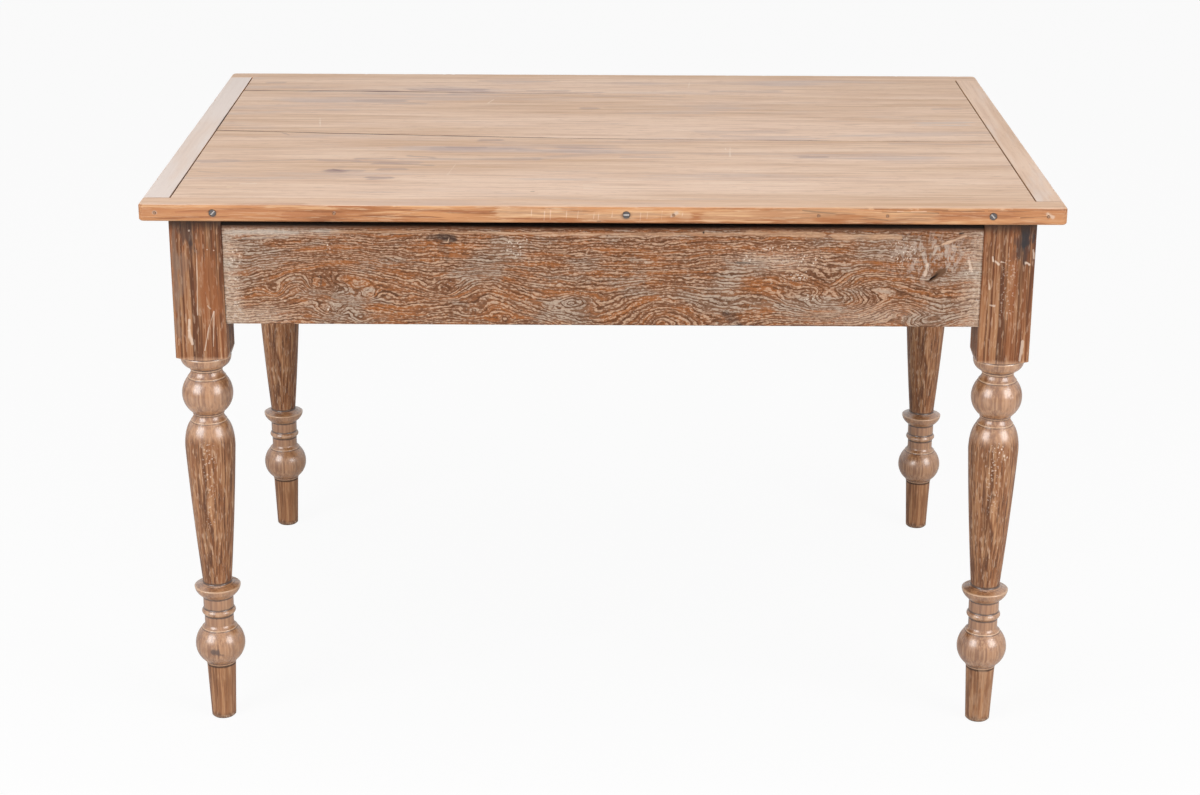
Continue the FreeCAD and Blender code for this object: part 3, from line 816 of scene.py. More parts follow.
# %% The finish of boards and strips
def table_wood(name, shift, across_grain=False, marks=(), cool=0.0, tint=None):
    paint = Paint(name, (1, 0.12, 1) if across_grain else (0.12, 1, 1))

    def drawn(along, across, wave=0.008):
        stretch = (across, along, across) if across_grain else (along, across, across)
        return paint.vector("MULTIPLY", paint.bend(paint.place(shift), wave, 2.5), stretch)

    broad = paint.cloud(drawn(1.6, 11))
    bands = paint.cloud(drawn(1.3, 60), 3.0, 0.6)
    lines = paint.cloud(drawn(7, 210), 3.0, 0.6)
    fine = paint.cloud(drawn(38, 330), 3.0, 0.65)
    grey = paint.fade(paint.cloud(drawn(3.0, 20), 4.0, 0.6) + cool, 0.52, 0.72)
    smoke = (0.77, 0.665, 0.61) if across_grain else (0.53, 0.42, 0.39)
    ink = 0.45 if across_grain else 1.0
    pale = paint.mix(paint.fade(broad, 0.36, 0.64), (0.63, 0.405, 0.262), (0.78, 0.555, 0.415))
    pale = paint.mix(paint.fade(bands, 0.38, 0.64) * 0.45, pale, (0.83, 0.61, 0.46))
    pale = paint.mix(paint.fade(lines, 0.50, 0.64) * (0.42 * ink), pale, (0.50, 0.32, 0.228))
    pale = paint.mix(paint.fade(lines, 0.46, 0.32) * (0.38 * ink), pale, (0.87, 0.68, 0.535))
    pale = paint.mix(grey * 0.60, pale, smoke)
    pale = paint.mix(paint.fade(fine, 0.54, 0.68) * (0.42 * ink), pale, (0.42, 0.26, 0.18))
    pale = paint.mix(tint[0], pale, tint[1]) if tint else pale

    tone = paint.cloud(drawn(4.0, 30))
    streaks = paint.cloud(drawn(9.0, 230), 3.0, 0.6)
    threads = paint.cloud(drawn(26.0, 620), 3.0, 0.65)
    warm = paint.mix(paint.fade(tone, 0.36, 0.64), (0.36, 0.130, 0.042), (0.57, 0.265, 0.11))
    warm = paint.mix(paint.fade(streaks, 0.45, 0.33) * 0.65, warm, (0.70, 0.42, 0.22))
    warm = paint.mix(paint.fade(streaks, 0.52, 0.62) * 0.72, warm, (0.22, 0.074, 0.024))
    warm = paint.mix(paint.fade(threads, 0.55, 0.64) * 0.50, warm, (0.72, 0.48, 0.30))
    facing = paint.part(paint.node("ShaderNodeNewGeometry", output="Normal"), 2)
    torn = (streaks - 0.5) * 0.5
    colour = paint.mix(paint.fade(facing + torn, 0.62, 0.86), warm, pale)
    worn = paint.fade(paint.mark("worn") + torn, 0.35, 0.85)
    colour = paint.mix(worn * 0.40, colour, (0.76, 0.50, 0.30))
    colour = paint.marked(colour, marks, 0.9, 120.0)
    dirt = paint.fade(paint.mark("seam") + (lines - 0.5) * 1.1, 0.20, 0.85)
    colour = paint.mix(dirt, colour, (0.095, 0.058, 0.045))
    shine = 0.52 + paint.fade(lines, 0.3, 0.7) * 0.14
    return paint.finish(colour, shine, lines * 0.6 + fine * 0.6 + streaks * 0.5, 0.0006, 0.45)


# %% [markdown]
# ## A strip as a bar
# A strip is a long bar with a rounded upper arris, a small chamfer below, rounded corners in
# plan, and nicks along the arris. Its section is drawn once and carried along stations, which
# stand close together at the corners and round each screw, where the wood is cut away.

# %% A closed bar from rings of points
def bar_mesh(name, points, marks):
    """points is an array of stations, then points round the bar, then x, y, z."""
    stations, around = points.shape[:2]
    index = np.arange(stations * around).reshape(stations, around)
    turned = np.roll(index, -1, 1)
    quads = np.stack([index[:-1], turned[:-1], turned[1:], index[1:]], -1).reshape(-1, 4).tolist()
    ends = [index[0].tolist(), index[-1][::-1].tolist()]
    mesh = bpy.data.meshes.new(name)
    mesh.from_pydata(points.reshape(-1, 3).tolist(), [], quads + ends)
    keep_marks(mesh, marks)
    outward(mesh)
    return mesh


def rounded(depth, size):
    """How far a rounded arris falls at a depth inside its edge."""
    left = np.clip(size - depth, 0, size)
    return size - np.sqrt(size * size - left * left)


def along_places(span, coarse, end_steps, close=()):
    """Places from -span to span, with given steps near both ends and 0.6 mm steps near some spots."""
    steps = np.array(end_steps)
    middle = np.linspace(-span + steps[-1], span - steps[-1], round(2 * span / coarse))
    near = [np.arange(spot - reach, spot + reach, 0.0006) for spot, reach in close]
    return np.unique(np.round(np.concatenate([-span + steps, middle, span - steps] + near), 6))


# %% The section of a strip
corner_radius = 0.008
top_arris = 0.003
under_arris = 0.002
across_shares = np.array([0, 0.4, 1, 2, 4, 9, 16, 23, 28, 31, 33, 34.2, 35, 35.5, 35.8, 36]) / 36
face_shares = np.linspace(0, 1, 38)[1:-1]
corner_steps = (0, 0.0001, 0.0004, 0.0009, 0.0016, 0.0024, 0.0034, 0.0048, 0.0064, 0.008)
hole_depth = 0.0034


def strip_mesh(name, side, along_x, span, holes, seed, seam_wear, chips):
    """A strip along X at the front or rear, or along Y at an end. holes are (place, radius)."""
    outer_edge = half_depth if along_x else half_length
    close = [(place, radius + 0.0012) for place, radius in holes]
    u = along_places(span, 0.0022, corner_steps if along_x else (0, 0.001), close)
    end = (half_length - np.abs(u) if along_x else np.full_like(u, 1.0))[:, None]
    cut = np.clip(corner_radius - end, 0, corner_radius)
    outer = outer_edge - corner_radius + np.sqrt(corner_radius ** 2 - cut ** 2)
    inner = outer_edge - strip_width
    v = inner + (outer - inner) * across_shares
    level = outer_edge - v
    both = np.maximum(corner_radius - end, 0) * (corner_radius > level)
    at_corner = corner_radius - np.hypot(both, corner_radius - level)
    depth = np.maximum(np.where(both > 0, at_corner, np.minimum(end, level)), 0)
    seam_size = 0.0002 + seam_wear * 0.0022 * layered(u, u * 0, 0.06, 1, seed + 3)[:, None]
    top = table_height - np.maximum(rounded(depth, top_arris), rounded(v - inner, seam_size))
    under = underside + np.clip(under_arris - depth, 0, None)
    face = top[:, -1:] + (under[:, -1:] - top[:, -1:]) * face_shares
    ring_v = np.concatenate([v, np.repeat(outer, len(face_shares), 1), v[:, ::-1]], 1)
    ring_z = np.concatenate([top, face, under[:, ::-1]], 1)
    ring_depth = np.concatenate([depth, face * 0, depth[:, ::-1]], 1)

    grid_u = np.repeat(u[:, None], ring_v.shape[1], 1)
    near = ramp(ring_depth + table_height - ring_z, 0.005, 0)
    soft = layered(grid_u, ring_z, 0.03, 0.012, seed)
    chip = layered(grid_u, ring_z + ring_v, 0.0075, 0.004, seed + 11)
    loss = near * (0.0005 * soft + 0.0014 * ramp(chip, 0.62, 0.85)) * chips(grid_u)
    for place, radius in holes:
        inside = (np.hypot(grid_u - place, ring_z - edge_middle) < radius) & (ring_depth == 0)
        ring_v = ring_v - hole_depth * inside
    place_v, place_z = side * (ring_v - loss), ring_z - loss
    points = np.stack([grid_u, place_v, place_z] if along_x else [place_v, grid_u, place_z], 2)
    blank = np.zeros((len(u), ring_v.shape[1] - len(across_shares)))
    dirt = np.exp(-(v - inner) / 0.0011) * min(seam_wear, 1)
    marks = {"worn": ramp(loss, 0.0002, 0.0014), "seam": np.concatenate([dirt, blank], 1)}
    return bar_mesh(name, points, marks)


# %% Four strips
def front_chips(u):
    return 0.7 + 1.1 * np.exp(-((u - 0.43) / 0.08) ** 2) + 0.4 * np.exp(-((u + 0.27) / 0.05) ** 2)


def plain_chips(u):
    return 0.8 + 0 * u


nail_spots = (-0.588, -0.3526, 0.0927, 0.283, 0.3733, 0.5844)
screw_hole, nail_hole = 0.0049, 0.0019
front_holes = [(x * mm, screw_hole) for x in screw_spots] + [(x, nail_hole) for x in nail_spots]
rear_holes = [(-x * mm, screw_hole) for x in screw_spots]
end_span = half_depth - strip_width

tan = (0.66, 0.39, 0.22)
silver = (0.88, 0.80, 0.76)
front_wood = table_wood("front strip wood", (0, 0, 0), False, edge_marks, tint=(0.34, tan))
rear_wood = table_wood("rear strip wood", (4, 3, 0), tint=(0.12, tan))
left_wood = table_wood("left strip wood", (2.2, 9, 0), True, cool=0.16, tint=(0.50, silver))
right_wood = table_wood("right strip wood", (5, 12, 0), True, cool=0.05)
# Each strip has its side, whether it runs along X, half its length, its holes, a seed, the wear
# of its seam, its chips, its solid and its wood.
strips = {
    "front": (-1, True, half_length, front_holes, 3, 0, front_chips, "edge_strip_front", front_wood),
    "rear": (1, True, half_length, rear_holes, 23, 0, plain_chips, "edge_strip_rear", rear_wood),
    "left": (-1, False, end_span, [], 43, 0.55, plain_chips, "end_strip_left", left_wood),
    "right": (1, False, end_span, [], 63, 0.35, plain_chips, "end_strip_right", right_wood),
}
for place, (*shape, node, wood) in strips.items():
    name = "worn_strip_" + place
    add_piece(name, strip_mesh(name, *shape), [node], wood)

# %% [markdown]
# ## Three boards with worn seams
# The boards lie tongue in groove, and their seams run askew and a little bowed, as in boards
# sawn from a tapered, crooked log. Each seam is a smooth line through a few places. Edges along
# a seam have lost some wood and hold dirt, more at the left than at the right. The front board
# meets the front strip so closely that no seam shows.

# %% The shape of a board
tongue_low, tongue_high = 0.75475, 0.76225
edge_steps = np.array([0, 0.4, 0.9, 1.6, 2.6, 4.5, 9]) * mm
inner_shares = np.linspace(0, 1, 10)[1:-1]


def board_mesh(name, front, rear, wear_front, wear_rear, has_tongue, seed):
    """A board between two lines, each a function that gives y for a place x."""
    u = along_places(board_reach, 0.004, (0, 0.0004, 0.0009, 0.0016, 0.003))
    ends = np.array([board_reach, board_reach + 0.0013])
    places = np.concatenate([-ends[::-1], u, ends])
    tongue = np.zeros(len(places), bool)
    tongue[[0, 1, -2, -1]] = True
    y0, y1 = front(places)[:, None], rear(places)[:, None]
    middle = y0 + 0.009 + (y1 - y0 - 0.018) * inner_shares
    v = np.concatenate([y0 + edge_steps, middle, y1 - edge_steps[::-1]], 1)
    from_end = np.maximum(board_reach - np.abs(places), 0)[:, None]

    def size_at(wear, shift):
        """The rounding along a seam, which comes and goes with the wear."""
        uneven = layered(places, places * 0, 0.05, 1, seed + shift)
        return (wear(places) * (0.0004 + 0.0026 * uneven))[:, None]

    fall = np.maximum(rounded(v - y0, size_at(wear_front, 0)), rounded(y1 - v, size_at(wear_rear, 5)))
    fall = np.maximum(fall, rounded(from_end, 0.0006 + 0 * y0))
    top = table_height - fall
    out = y1 + (0.0005 if has_tongue else 0.0)
    ring_v = np.concatenate([v, y1, out, out, y1, y1, y0], 1)
    levels = (tongue_high, tongue_high, tongue_low, tongue_low, underside, underside)
    ring_z = np.concatenate([top] + [np.ones_like(y1) * z for z in levels], 1)
    ring_z = np.where(tongue[:, None], np.clip(ring_z, tongue_low, tongue_high), ring_z)
    points = np.stack([np.repeat(places[:, None], ring_v.shape[1], 1), ring_v, ring_z], 2)

    dirt = np.maximum(wear_front(places)[:, None] * np.exp(-(v - y0) / 0.0020),
                      wear_rear(places)[:, None] * np.exp(-(y1 - v) / 0.0020))
    dirt = np.maximum(dirt, 0.8 * np.exp(-from_end / 0.0008))
    seam = np.concatenate([np.clip(dirt, 0, 1), np.ones((len(places), 6))], 1)
    return bar_mesh(name, points, {"worn": seam * 0, "seam": seam})


# %% Three boards
def tight(x):
    return 0 * x + 0.001


def main_wear(x):
    """Worn and dark at the left and in the middle, finer at the right."""
    return 0.62 + 0.38 * ramp(x, 0.10, -0.10) + 0.15 * ramp(x, 0.35, 0.50)


def rear_wear(x):
    return 0.22 + 0.78 * ramp(x, 0.05, -0.30)


def line_through(*spots):
    """A smooth line through places (x, y) in millimetres, moved back by a gap in metres."""
    x, y = np.array(spots).T * mm
    curve = np.polyfit(x, y, 3)
    return lambda place, gap=0.0: np.polyval(curve, np.clip(place, -board_reach, board_reach)) + gap


board_seam = 0.0006
first = line_through((-573, 8), (-300, -17), (0, -38), (300, -44), (573, -42))
second = line_through((-573, 292), (-300, 288), (-58, 278), (300, 262), (573, 242))
# Each board has its two lines, the wear along them, whether it has a tongue, the place of its
# figure, and the stretch in millimetres from which it takes the marks of the top.
boards = {
    "board_front": (lambda x: 0 * x - end_span, first, tight, main_wear, True, (0, 0, 0), (-412, 22)),
    "board_middle": (lambda x: first(x, board_seam), second, main_wear, rear_wear, True,
                     (3.1, 1.7, 0), (-62, 312)),
    "board_rear": (lambda x: second(x, board_seam), lambda x: 0 * x + end_span, rear_wear, tight, False,
                   (6.3, 4.1, 0), (224, 412)),
}
for number, (node, (*lines_and_wear, shift, span)) in enumerate(boards.items()):
    board = board_mesh("scrubbed_" + node, *lines_and_wear, 101 + 20 * number)
    own = [mark for mark in top_marks if span[0] < mark[0][1] / mm < span[1]]
    wood = table_wood("wood of " + node, shift, False, own)
    add_piece("scrubbed_" + node, board, [node], wood)

# %% [markdown]
# ## The front apron and its raised grain
# Weather and lye have eaten the soft early wood of the front apron, so the hard late wood
# stands up in wavy ridges, with grey dirt between them. A bump map would look painted at the
# edge of the light, so the ridges are real: a fine grid of points follows a map of the year
# rings, worked out with a few formulas for waves, rings and knots.

# %% The map of the year rings
ring_step = 0.0039
hills = [(-372, 660, 80, 42, 24), (-483, 660, 30, 30, -6), (-270, 612, 50, 22, -9),
         (-150, 652, 38, 28, 11), (-60, 690, 90, 20, -3), (215, 680, 60, 25, 4),
         (470, 620, 60, 26, -6)]
swirls = [(82, 595, 108, 56, 1.6, 1.4), (-324, 609, 12, 10, 1.2, 1.2), (-352, 646, 15, 13, 0.9, 0.9),
          (-379, 655, 15, 14, 0.8, 0.8), (-325, 640, 14, 11, 1.0, 1.0), (-311, 642, 8, 7, 1.2, 1.2),
          (-364, 618, 16, 11, 1.3, 1.3), (-440, 648, 12, 9, 1.3, 1.3), (-172, 618, 15, 11, 1.1, 1.1),
          (-215, 650, 22, 12, 1.3, 1.3), (-41, 628, 40, 19, 2.2, 2.2), (277, 643, 34, 24, 1.3, 1.5),
          (-130, 606, 20, 9, 1.5, 1.5)]
arrows = [(335, 650, 44, 28, -1), (424, 614, 36, 20, 1)]


def around(x, z, middle_x, middle_z, wide, high):
    """1 at a spot, fading out over its width and height, all given in millimetres."""
    return np.exp(-((x / mm - middle_x) / wide) ** 2 - ((z / mm - middle_z) / high) ** 2)


def ring_map(x, z, seed, figured):
    """Counts year rings upwards over a board, with arcs, eyes and arrows in the figure."""
    level = z + 0.010 * (layered(x, z, 0.30, 0.10, 31 + seed) - 0.5)
    level = level + 0.011 * (layered(x, z, 0.075, 0.030, 41 + seed) - 0.5)
    if figured:
        for *spot, lift in hills:
            level = level - lift * mm * around(x, z, *spot)
        for *spot, flat_right, flat_left in swirls:
            near, dx, dz = around(x, z, *spot), x - spot[0] * mm, z - spot[1] * mm
            arc = spot[1] * mm + np.hypot(dx / np.where(dx > 0, flat_right, flat_left), dz)
            level = level * (1 - near) + arc * near
        for *spot, way in arrows:
            near, dx, dz = around(x, z, *spot), x - spot[0] * mm, z - spot[1] * mm
            level = level * (1 - near) + (spot[1] * mm + np.abs(dz) + 0.7 * way * dx) * near
    level = level + 0.0062 * (layered(x, z, 0.019, 0.009, 51 + seed) - 0.5)
    return level / ring_step


# %% Where the figure is chalky, broken, knotted or flecked
def knot_map(x, z):
    """1 in the rough knot at the right end, fading outwards."""
    away = np.hypot((x / mm - 440) / 62, (z / mm - 695) / 36)
    return np.clip(1.5 - 1.2 * away, 0, 1)


def crust_map(x, z):
    """Where the surface is chalky: the left end, the top edge there, and a few patches."""
    left = ramp(x + 0.020 * (layered(x, z, 0.020, 0.024, 171) - 0.5), -0.478, -0.499)
    upper = ramp(z, 0.716, 0.724) * ramp(x, -0.33, -0.42)
    patches = sum(amount * around(x, z, *spot) for *spot, amount in chalky_zones)
    right = ramp(x, 0.470, 0.500) * 0.8
    return np.clip(left + upper + patches + right, 0, 1)


# Spots in millimetres, their width and height, and how much they count
chalky_zones = [(-460, 607, 35, 14, 0.8), (225, 688, 50, 12, 0.7), (350, 612, 70, 12, 0.5)]
fleck_zones = [(270, 690, 34, 10, 1.0), (262, 668, 22, 12, 0.8), (194, 690, 12, 8, 0.9),
               (-118, 704, 14, 16, 0.9), (-100, 715, 12, 6, 0.8), (232, 706, 40, 8, 0.7),
               (277, 640, 16, 9, 0.8), (-364, 620, 10, 8, 0.8), (-368, 708, 12, 12, 0.6),
               (-489, 690, 10, 16, 0.9), (400, 700, 30, 26, 0.7), (-210, 655, 22, 12, 0.5),
               (-489, 640, 8, 40, 0.7), (490, 680, 12, 24, 0.7)]


def fleck_map(x, z):
    return np.max([amount * around(x, z, *spot) for *spot, amount in fleck_zones], axis=0)


def pit_map(x, z):
    """The wedge-shaped hole of the fallen knot: 1 where it is deepest, at its lower left."""
    dx, dz = x / mm - 436, z / mm - 661
    along, aside = 0.81 * dx + 0.59 * dz, -0.59 * dx + 0.81 * dz
    aside = aside + 3.0 * (layered(x, z, 0.010, 0.010, 161) - 0.5)
    half = 0.8 + 4.6 * ramp(along, -1, 17) * ramp(along, 34, 20)
    inside = np.clip(1.3 - np.abs(aside) / half, 0, 1) * ramp(along, -2, 1) * ramp(along, 34, 24)
    return inside * (1 - 0.45 * ramp(along, 4, 26))


# %% The height of the wood and the numbers that its finish reads
def apron_maps(x, z, seed, figured):
    rings = ring_map(x, z, seed, figured)
    ridge = 0.5 + 0.5 * np.sin(2 * np.pi * rings)
    own = layered(x, np.floor(rings) * 0.37, 0.05, 0.25, 61 + seed)
    grit = layered(x, z, 0.0060, 0.0026, 121 + seed)
    relief = -0.0010 + 0.0006 * ridge * ramp(own, 0.30, 0.60) + 0.0004 * grit
    blank = 0 * x
    marks = {"rings": rings, "along": x, "crust": blank, "knot": blank, "fleck": blank, "pit": blank}
    if figured:
        knot, pit = knot_map(x, z), pit_map(x, z)
        lumps = layered(x, z, 0.008, 0.020, 141)
        relief = relief * (1 - 0.5 * knot) - 0.0018 * knot * (1 - lumps) - 0.0050 * pit
        marks.update(crust=crust_map(x, z), knot=knot, fleck=fleck_map(x, z), pit=pit)
    return np.minimum(relief, 0), marks

# %% [markdown]
# The apron's outer face, its rounded upper arris and its lower edge are one sheet of that grid.
# The other faces are plain, so they close the board with few faces.

# %% A board with raised grain on its outer face
apron_bottom = 0.597
apron_thickness = 0.024
foot_round = 0.002
# The painted shade under the top, by height: where it starts and where it is full
black_shade_heights = (0.7310, 0.7350)
brown_shade_heights = (0.7285, 0.7310)


def apron_mesh(name, half_span, end_top, middle_top, round_size, columns, rows, seed, figured, depth):
    """The board stands on y = 0 with its outer face towards -Y."""
    share = np.linspace(-1, 1, columns + 1)
    x = share * half_span
    top = end_top - (end_top - middle_top) * (1 - share ** 2)
    levels = np.concatenate([[0.0, 0.0004], np.linspace(0.0025, 1, rows - 1)])
    grid_x = np.repeat(x[:, None], rows + 1, 1)
    grid_z = apron_bottom + levels[None, :] * (top[:, None] - apron_bottom)
    relief, marks = apron_maps(grid_x, grid_z, seed, figured)
    over = np.clip(round_size - (top[:, None] - grid_z), 0, round_size)
    back_arris = round_size - np.sqrt(np.maximum(round_size ** 2 - over ** 2, 0))
    above_foot = np.clip(foot_round - (grid_z - apron_bottom), 0, foot_round)
    grid_y = back_arris + (foot_round - np.sqrt(foot_round ** 2 - above_foot ** 2)) - relief * depth
    grid_y = np.minimum(grid_y, apron_thickness - 0.001)
    # Painted shade: the rounded arris and the band under the top go near black, with a brown band of
    # painted shade below it.
    under_round = ramp(over, 0.3 * round_size, 0.9 * round_size)
    marks["shade"] = np.maximum(under_round, ramp(grid_z, *black_shade_heights)) * figured
    marks["brown"] = ramp(grid_z, *brown_shade_heights) * figured
    points = np.stack([grid_x, grid_y, grid_z], 2).reshape(-1, 3)
    wide = rows + 1
    index = np.arange(len(points)).reshape(columns + 1, wide)
    sheet = np.stack([index[:-1, :-1], index[1:, :-1], index[1:, 1:], index[:-1, 1:]], -1)
    sheet = sheet.reshape(-1, 4).tolist()
    back = len(points)
    rear = [(xi, apron_thickness, z) for xi, ti in zip(x, top) for z in (apron_bottom, ti)]
    for i in range(columns):
        low, high = back + 2 * i, back + 2 * i + 1
        foot, crest = i * wide, i * wide + rows
        sheet += [(low, high, high + 2, low + 2), (foot, low, low + 2, foot + wide),
                  (crest, crest + wide, high + 2, high)]
    first = index[0].tolist() + [back + 1, back]
    last = index[-1].tolist() + [back + 2 * columns + 1, back + 2 * columns]
    mesh = bpy.data.meshes.new(name)
    mesh.from_pydata(points.tolist() + rear, [], sheet + [first, last[::-1]])
    # The back of the upper edge gets the same painted shade.
    rear_marks = {"shade": np.tile([0.0, float(figured)], columns + 1)}
    blank = np.zeros(len(rear))
    keep_marks(mesh, {key: np.concatenate([value.ravel(), rear_marks.get(key, blank)])
                      for key, value in marks.items()})
    outward(mesh)
    return mesh


# %% The finish of the aprons
def apron_finish(name, shift, marks=()):
    paint = Paint(name, (0.3, 0.3, 1))
    rings, along = paint.mark("rings"), paint.mark("along")
    crust, knot, pit = paint.mark("crust"), paint.mark("knot"), paint.mark("pit")

    def by_line(stretch, count, offset):
        """Noise that runs along the year rings, so that it differs from line to line."""
        spot = paint.triple(along * stretch + offset, rings * count, offset)
        return paint.cloud(spot, 2.0, 0.5)

    fine = paint.cloud(paint.place(shift, (150, 150, 430)), 2.0, 0.6)
    grit = paint.cloud(paint.place(shift, (250, 250, 310)), 2.0, 0.6)
    ragged = paint.cloud(paint.place(shift, (110, 110, 190)))
    phase = rings + (ragged - 0.5) * 1.0
    wide, narrow = paint.wave(phase), paint.wave(phase * 2.0 + 0.3)
    own, other, patch = by_line(26, 0.9, 3.0), by_line(22, 0.9, 17.0), by_line(12, 0.55, 31.0)
    warm = paint.fade(patch + (fine - 0.5) * 0.35, 0.44, 0.64)
    grey = paint.fade(paint.cloud(paint.place(shift, (10, 10, 26))), 0.48, 0.62)

    lit = wide * 0.25 + narrow * 0.15 + (own - 0.5) * 1.0 + (fine - 0.5) * 1.2 + (grit - 0.5) * 0.9
    pale = paint.fade(lit + crust * 0.30 - knot * 0.1 + grey * 0.07 - warm * 0.08, -0.04, 0.34)
    dim = (other - 0.5) * 1.1 - wide * 0.27 + (grit - 0.5) * 0.8 - (fine - 0.5) * 0.8
    dark = paint.fade(dim - crust * 0.15 - knot * 0.1, 0.08, 0.44)
    base = paint.mix(warm, (0.185, 0.076, 0.035), (0.32, 0.112, 0.034))
    base = paint.mix(grey * 0.6, base, (0.215, 0.128, 0.082))
    chalky = paint.mix(grey, (0.57, 0.370, 0.245), (0.49, 0.38, 0.295))
    colour = paint.mix(pale * 0.78, base, chalky)
    colour = paint.mix(crust * 0.35, colour, (0.50, 0.425, 0.35))
    colour = paint.mix(dark * 0.74, colour, (0.080, 0.030, 0.012))
    colour = paint.mix(paint.fade(grit, 0.64, 0.76) * 0.5, colour, (0.68, 0.52, 0.39))
    colour = paint.mix(paint.fade(grit, 0.38, 0.28) * 0.5, colour, (0.11, 0.046, 0.022))
    scale = paint.cloud(paint.place(shift, (190, 190, 210)), 3.0, 0.65)
    colour = paint.mix(crust * paint.fade(scale, 0.50, 0.62) * 0.55, colour, (0.20, 0.125, 0.085))
    colour = paint.mix(crust * paint.fade(scale, 0.46, 0.36) * 0.50, colour, (0.66, 0.58, 0.50))

    warped = paint.bend(paint.place(shift, (125, 125, 62)), 2.2, 0.8)
    flake = paint.cloud(warped, 3.0, 0.65)
    colour = paint.mix(knot * paint.fade(flake, 0.47, 0.62) * 0.80, colour, (0.50, 0.40, 0.33))
    colour = paint.mix(knot * paint.fade(flake, 0.46, 0.34) * 0.80, colour, (0.22, 0.085, 0.035))
    flecked = paint.fade(paint.mark("fleck") + (ragged - 0.5) * 1.2, 0.30, 0.70)
    colour = paint.mix(paint.specks(250.0, shift) * flecked * 0.85, colour, (0.76, 0.64, 0.53))
    colour = paint.marked(colour, marks, 0.7, 90.0)
    # A brown band of painted shade below the top.
    colour = paint.mix(paint.mark("brown") * 0.75, colour, (0.17, 0.075, 0.038))
    colour = paint.mix(paint.fade(pit, 0.10, 0.45), colour, (0.15, 0.075, 0.040))
    # The deepest part of the knot hole goes near black, a painted shade.
    colour = paint.mix(paint.fade(pit, 0.60, 0.95), colour, (0.020, 0.010, 0.006))
    # Near black painted shade on the apron's top under the overhang.
    colour = paint.mix(paint.mark("shade"), colour, (0.012, 0.008, 0.006))
    paint.put(paint.shader.inputs["Specular IOR Level"], 0.2)
    shine = 0.72 - warm * 0.12 + paint.mark("shade") * 0.2
    return paint.finish(colour, shine, fine * 0.6 + pale * 0.5 - dark * 0.4, 0.0005, 0.6)


# %% Four aprons
half_long = 0.506
half_short = 0.332
# The wide honey strokes along the upper edge, from 723 to 727 mm, are a painted highlight below the
# painted shade.
apron_marks = on_face("""
    -500 725 -405 725 4.2 whitewash .4; -490 726 -352 727 2.4 whitewash .35;
    -478 716 -420 718 3 lime .45; -360 726 -40 725 2.6 honey .45; -40 724 190 725 3.2 honey .5;
    -313 709 -280 713 .8 cream .9; -280 713 -246 720 .8 cream .9; -232 717 -202 717 8 soot .45;
    -216 720 -198 717 6 soot .5; -214 706 -206 690 7 soot .35; -219 712 -205 712 .8 cream .9;
    -206 712 -204 718 .8 cream .8; 134 727 134 727 1.4 soot .95; 166 614 176 606 7 soot .45;
    182 600 186 598 6 soot .4; 180 686 196 685 1.6 soot .6; 195 726 292 724 5 honey .62;
    240 713 285 717 .9 crack .5; 285 717 303 727 .9 crack .6; 308 723 396 723 5 honey .62;
    -160 726 -80 724 1.4 cream .6; -80 722 20 724 1.8 cream .7; 0 720 70 722 1.6 cream .5;
    -105 722 -95 719 1.2 cream .7; 416 700 452 712 1.6 cream .85; 452 712 482 724 2.2 cream .75;
    430 708 452 714 .8 crack .6; 452 716 476 726 .9 crack .7; 474 727 479 728 1.8 soot .9;
    420 724 445 727 1 crack .5; 398 724 402 708 1.4 soot .4; 418 716 412 700 1.6 umber .6;
    437 706 436 684 2.2 deep_umber .6; 446 708 450 690 1.8 pale_umber .6; 462 706 458 690 2.4 rosy .6;
    464 686 490 697 1.3 burnt .6; 433 684 430 668 2.4 chalk .7; 488 690 492 676 2.2 chalk .7;
    503 725 503 600 1.2 dust .5; -300 660 -286 630 1 cream .4; -376 664 -377 640 1.3 soot .45;
    -505 660 -505 600 .9 soot .5""", on_front_apron)


def add_apron(node, half_span, tops, round_size, grid, seed, depth, angle, spot, wood):
    """tops are the heights of the upper edge at the ends and in the middle."""
    figured = node == "apron_front"
    board = apron_mesh("grained_" + node, half_span, *tops, round_size, *grid, seed, figured, depth)
    board.transform(Matrix.Translation((*spot, 0)) @ Matrix.Rotation(math.radians(angle), 4, "Z"))
    add_piece("grained_" + node, board, [node], wood)


front_tops, plain_tops = (0.741, 0.734), (underside, underside)
front_grid = (620, 150)
plain_step, plain_rows = 0.0026, 130
grey_wood = apron_finish("weathered front apron", (0, 0, 0), apron_marks)
add_apron("apron_front", half_long, front_tops, 0.005, front_grid, 0, 1.0, 0, (0, -apron_face), grey_wood)

other_aprons = {
    "apron_rear": (half_long, 180, (0, apron_face)),
    "apron_left": (half_short, -90, (-end_face, 0)),
    "apron_right": (half_short, 90, (end_face, 0)),
}
for number, (node, (span, *turned)) in enumerate(other_aprons.items()):
    grid = (round(span * 2 / plain_step), plain_rows)
    wood = apron_finish("weathered " + node, (number * 3.0, 1, 0))
    add_apron(node, span, plain_tops, 0.002, grid, 200 * (number + 1), 0.7, *turned, wood)

# %% [markdown]
# ## Screws, nails and buttons
# Slotted screws and thin nails hold the long strips, and wooden buttons hold the top to the
# aprons. One good screw is made by a rule and set at each place by a Geometry Nodes tree, so all
# its sizes are inputs, and the same tree sets the front and the rear screws. The nails, the
# buttons and the buttons' screws are small or hidden, so their solids only get a finish.

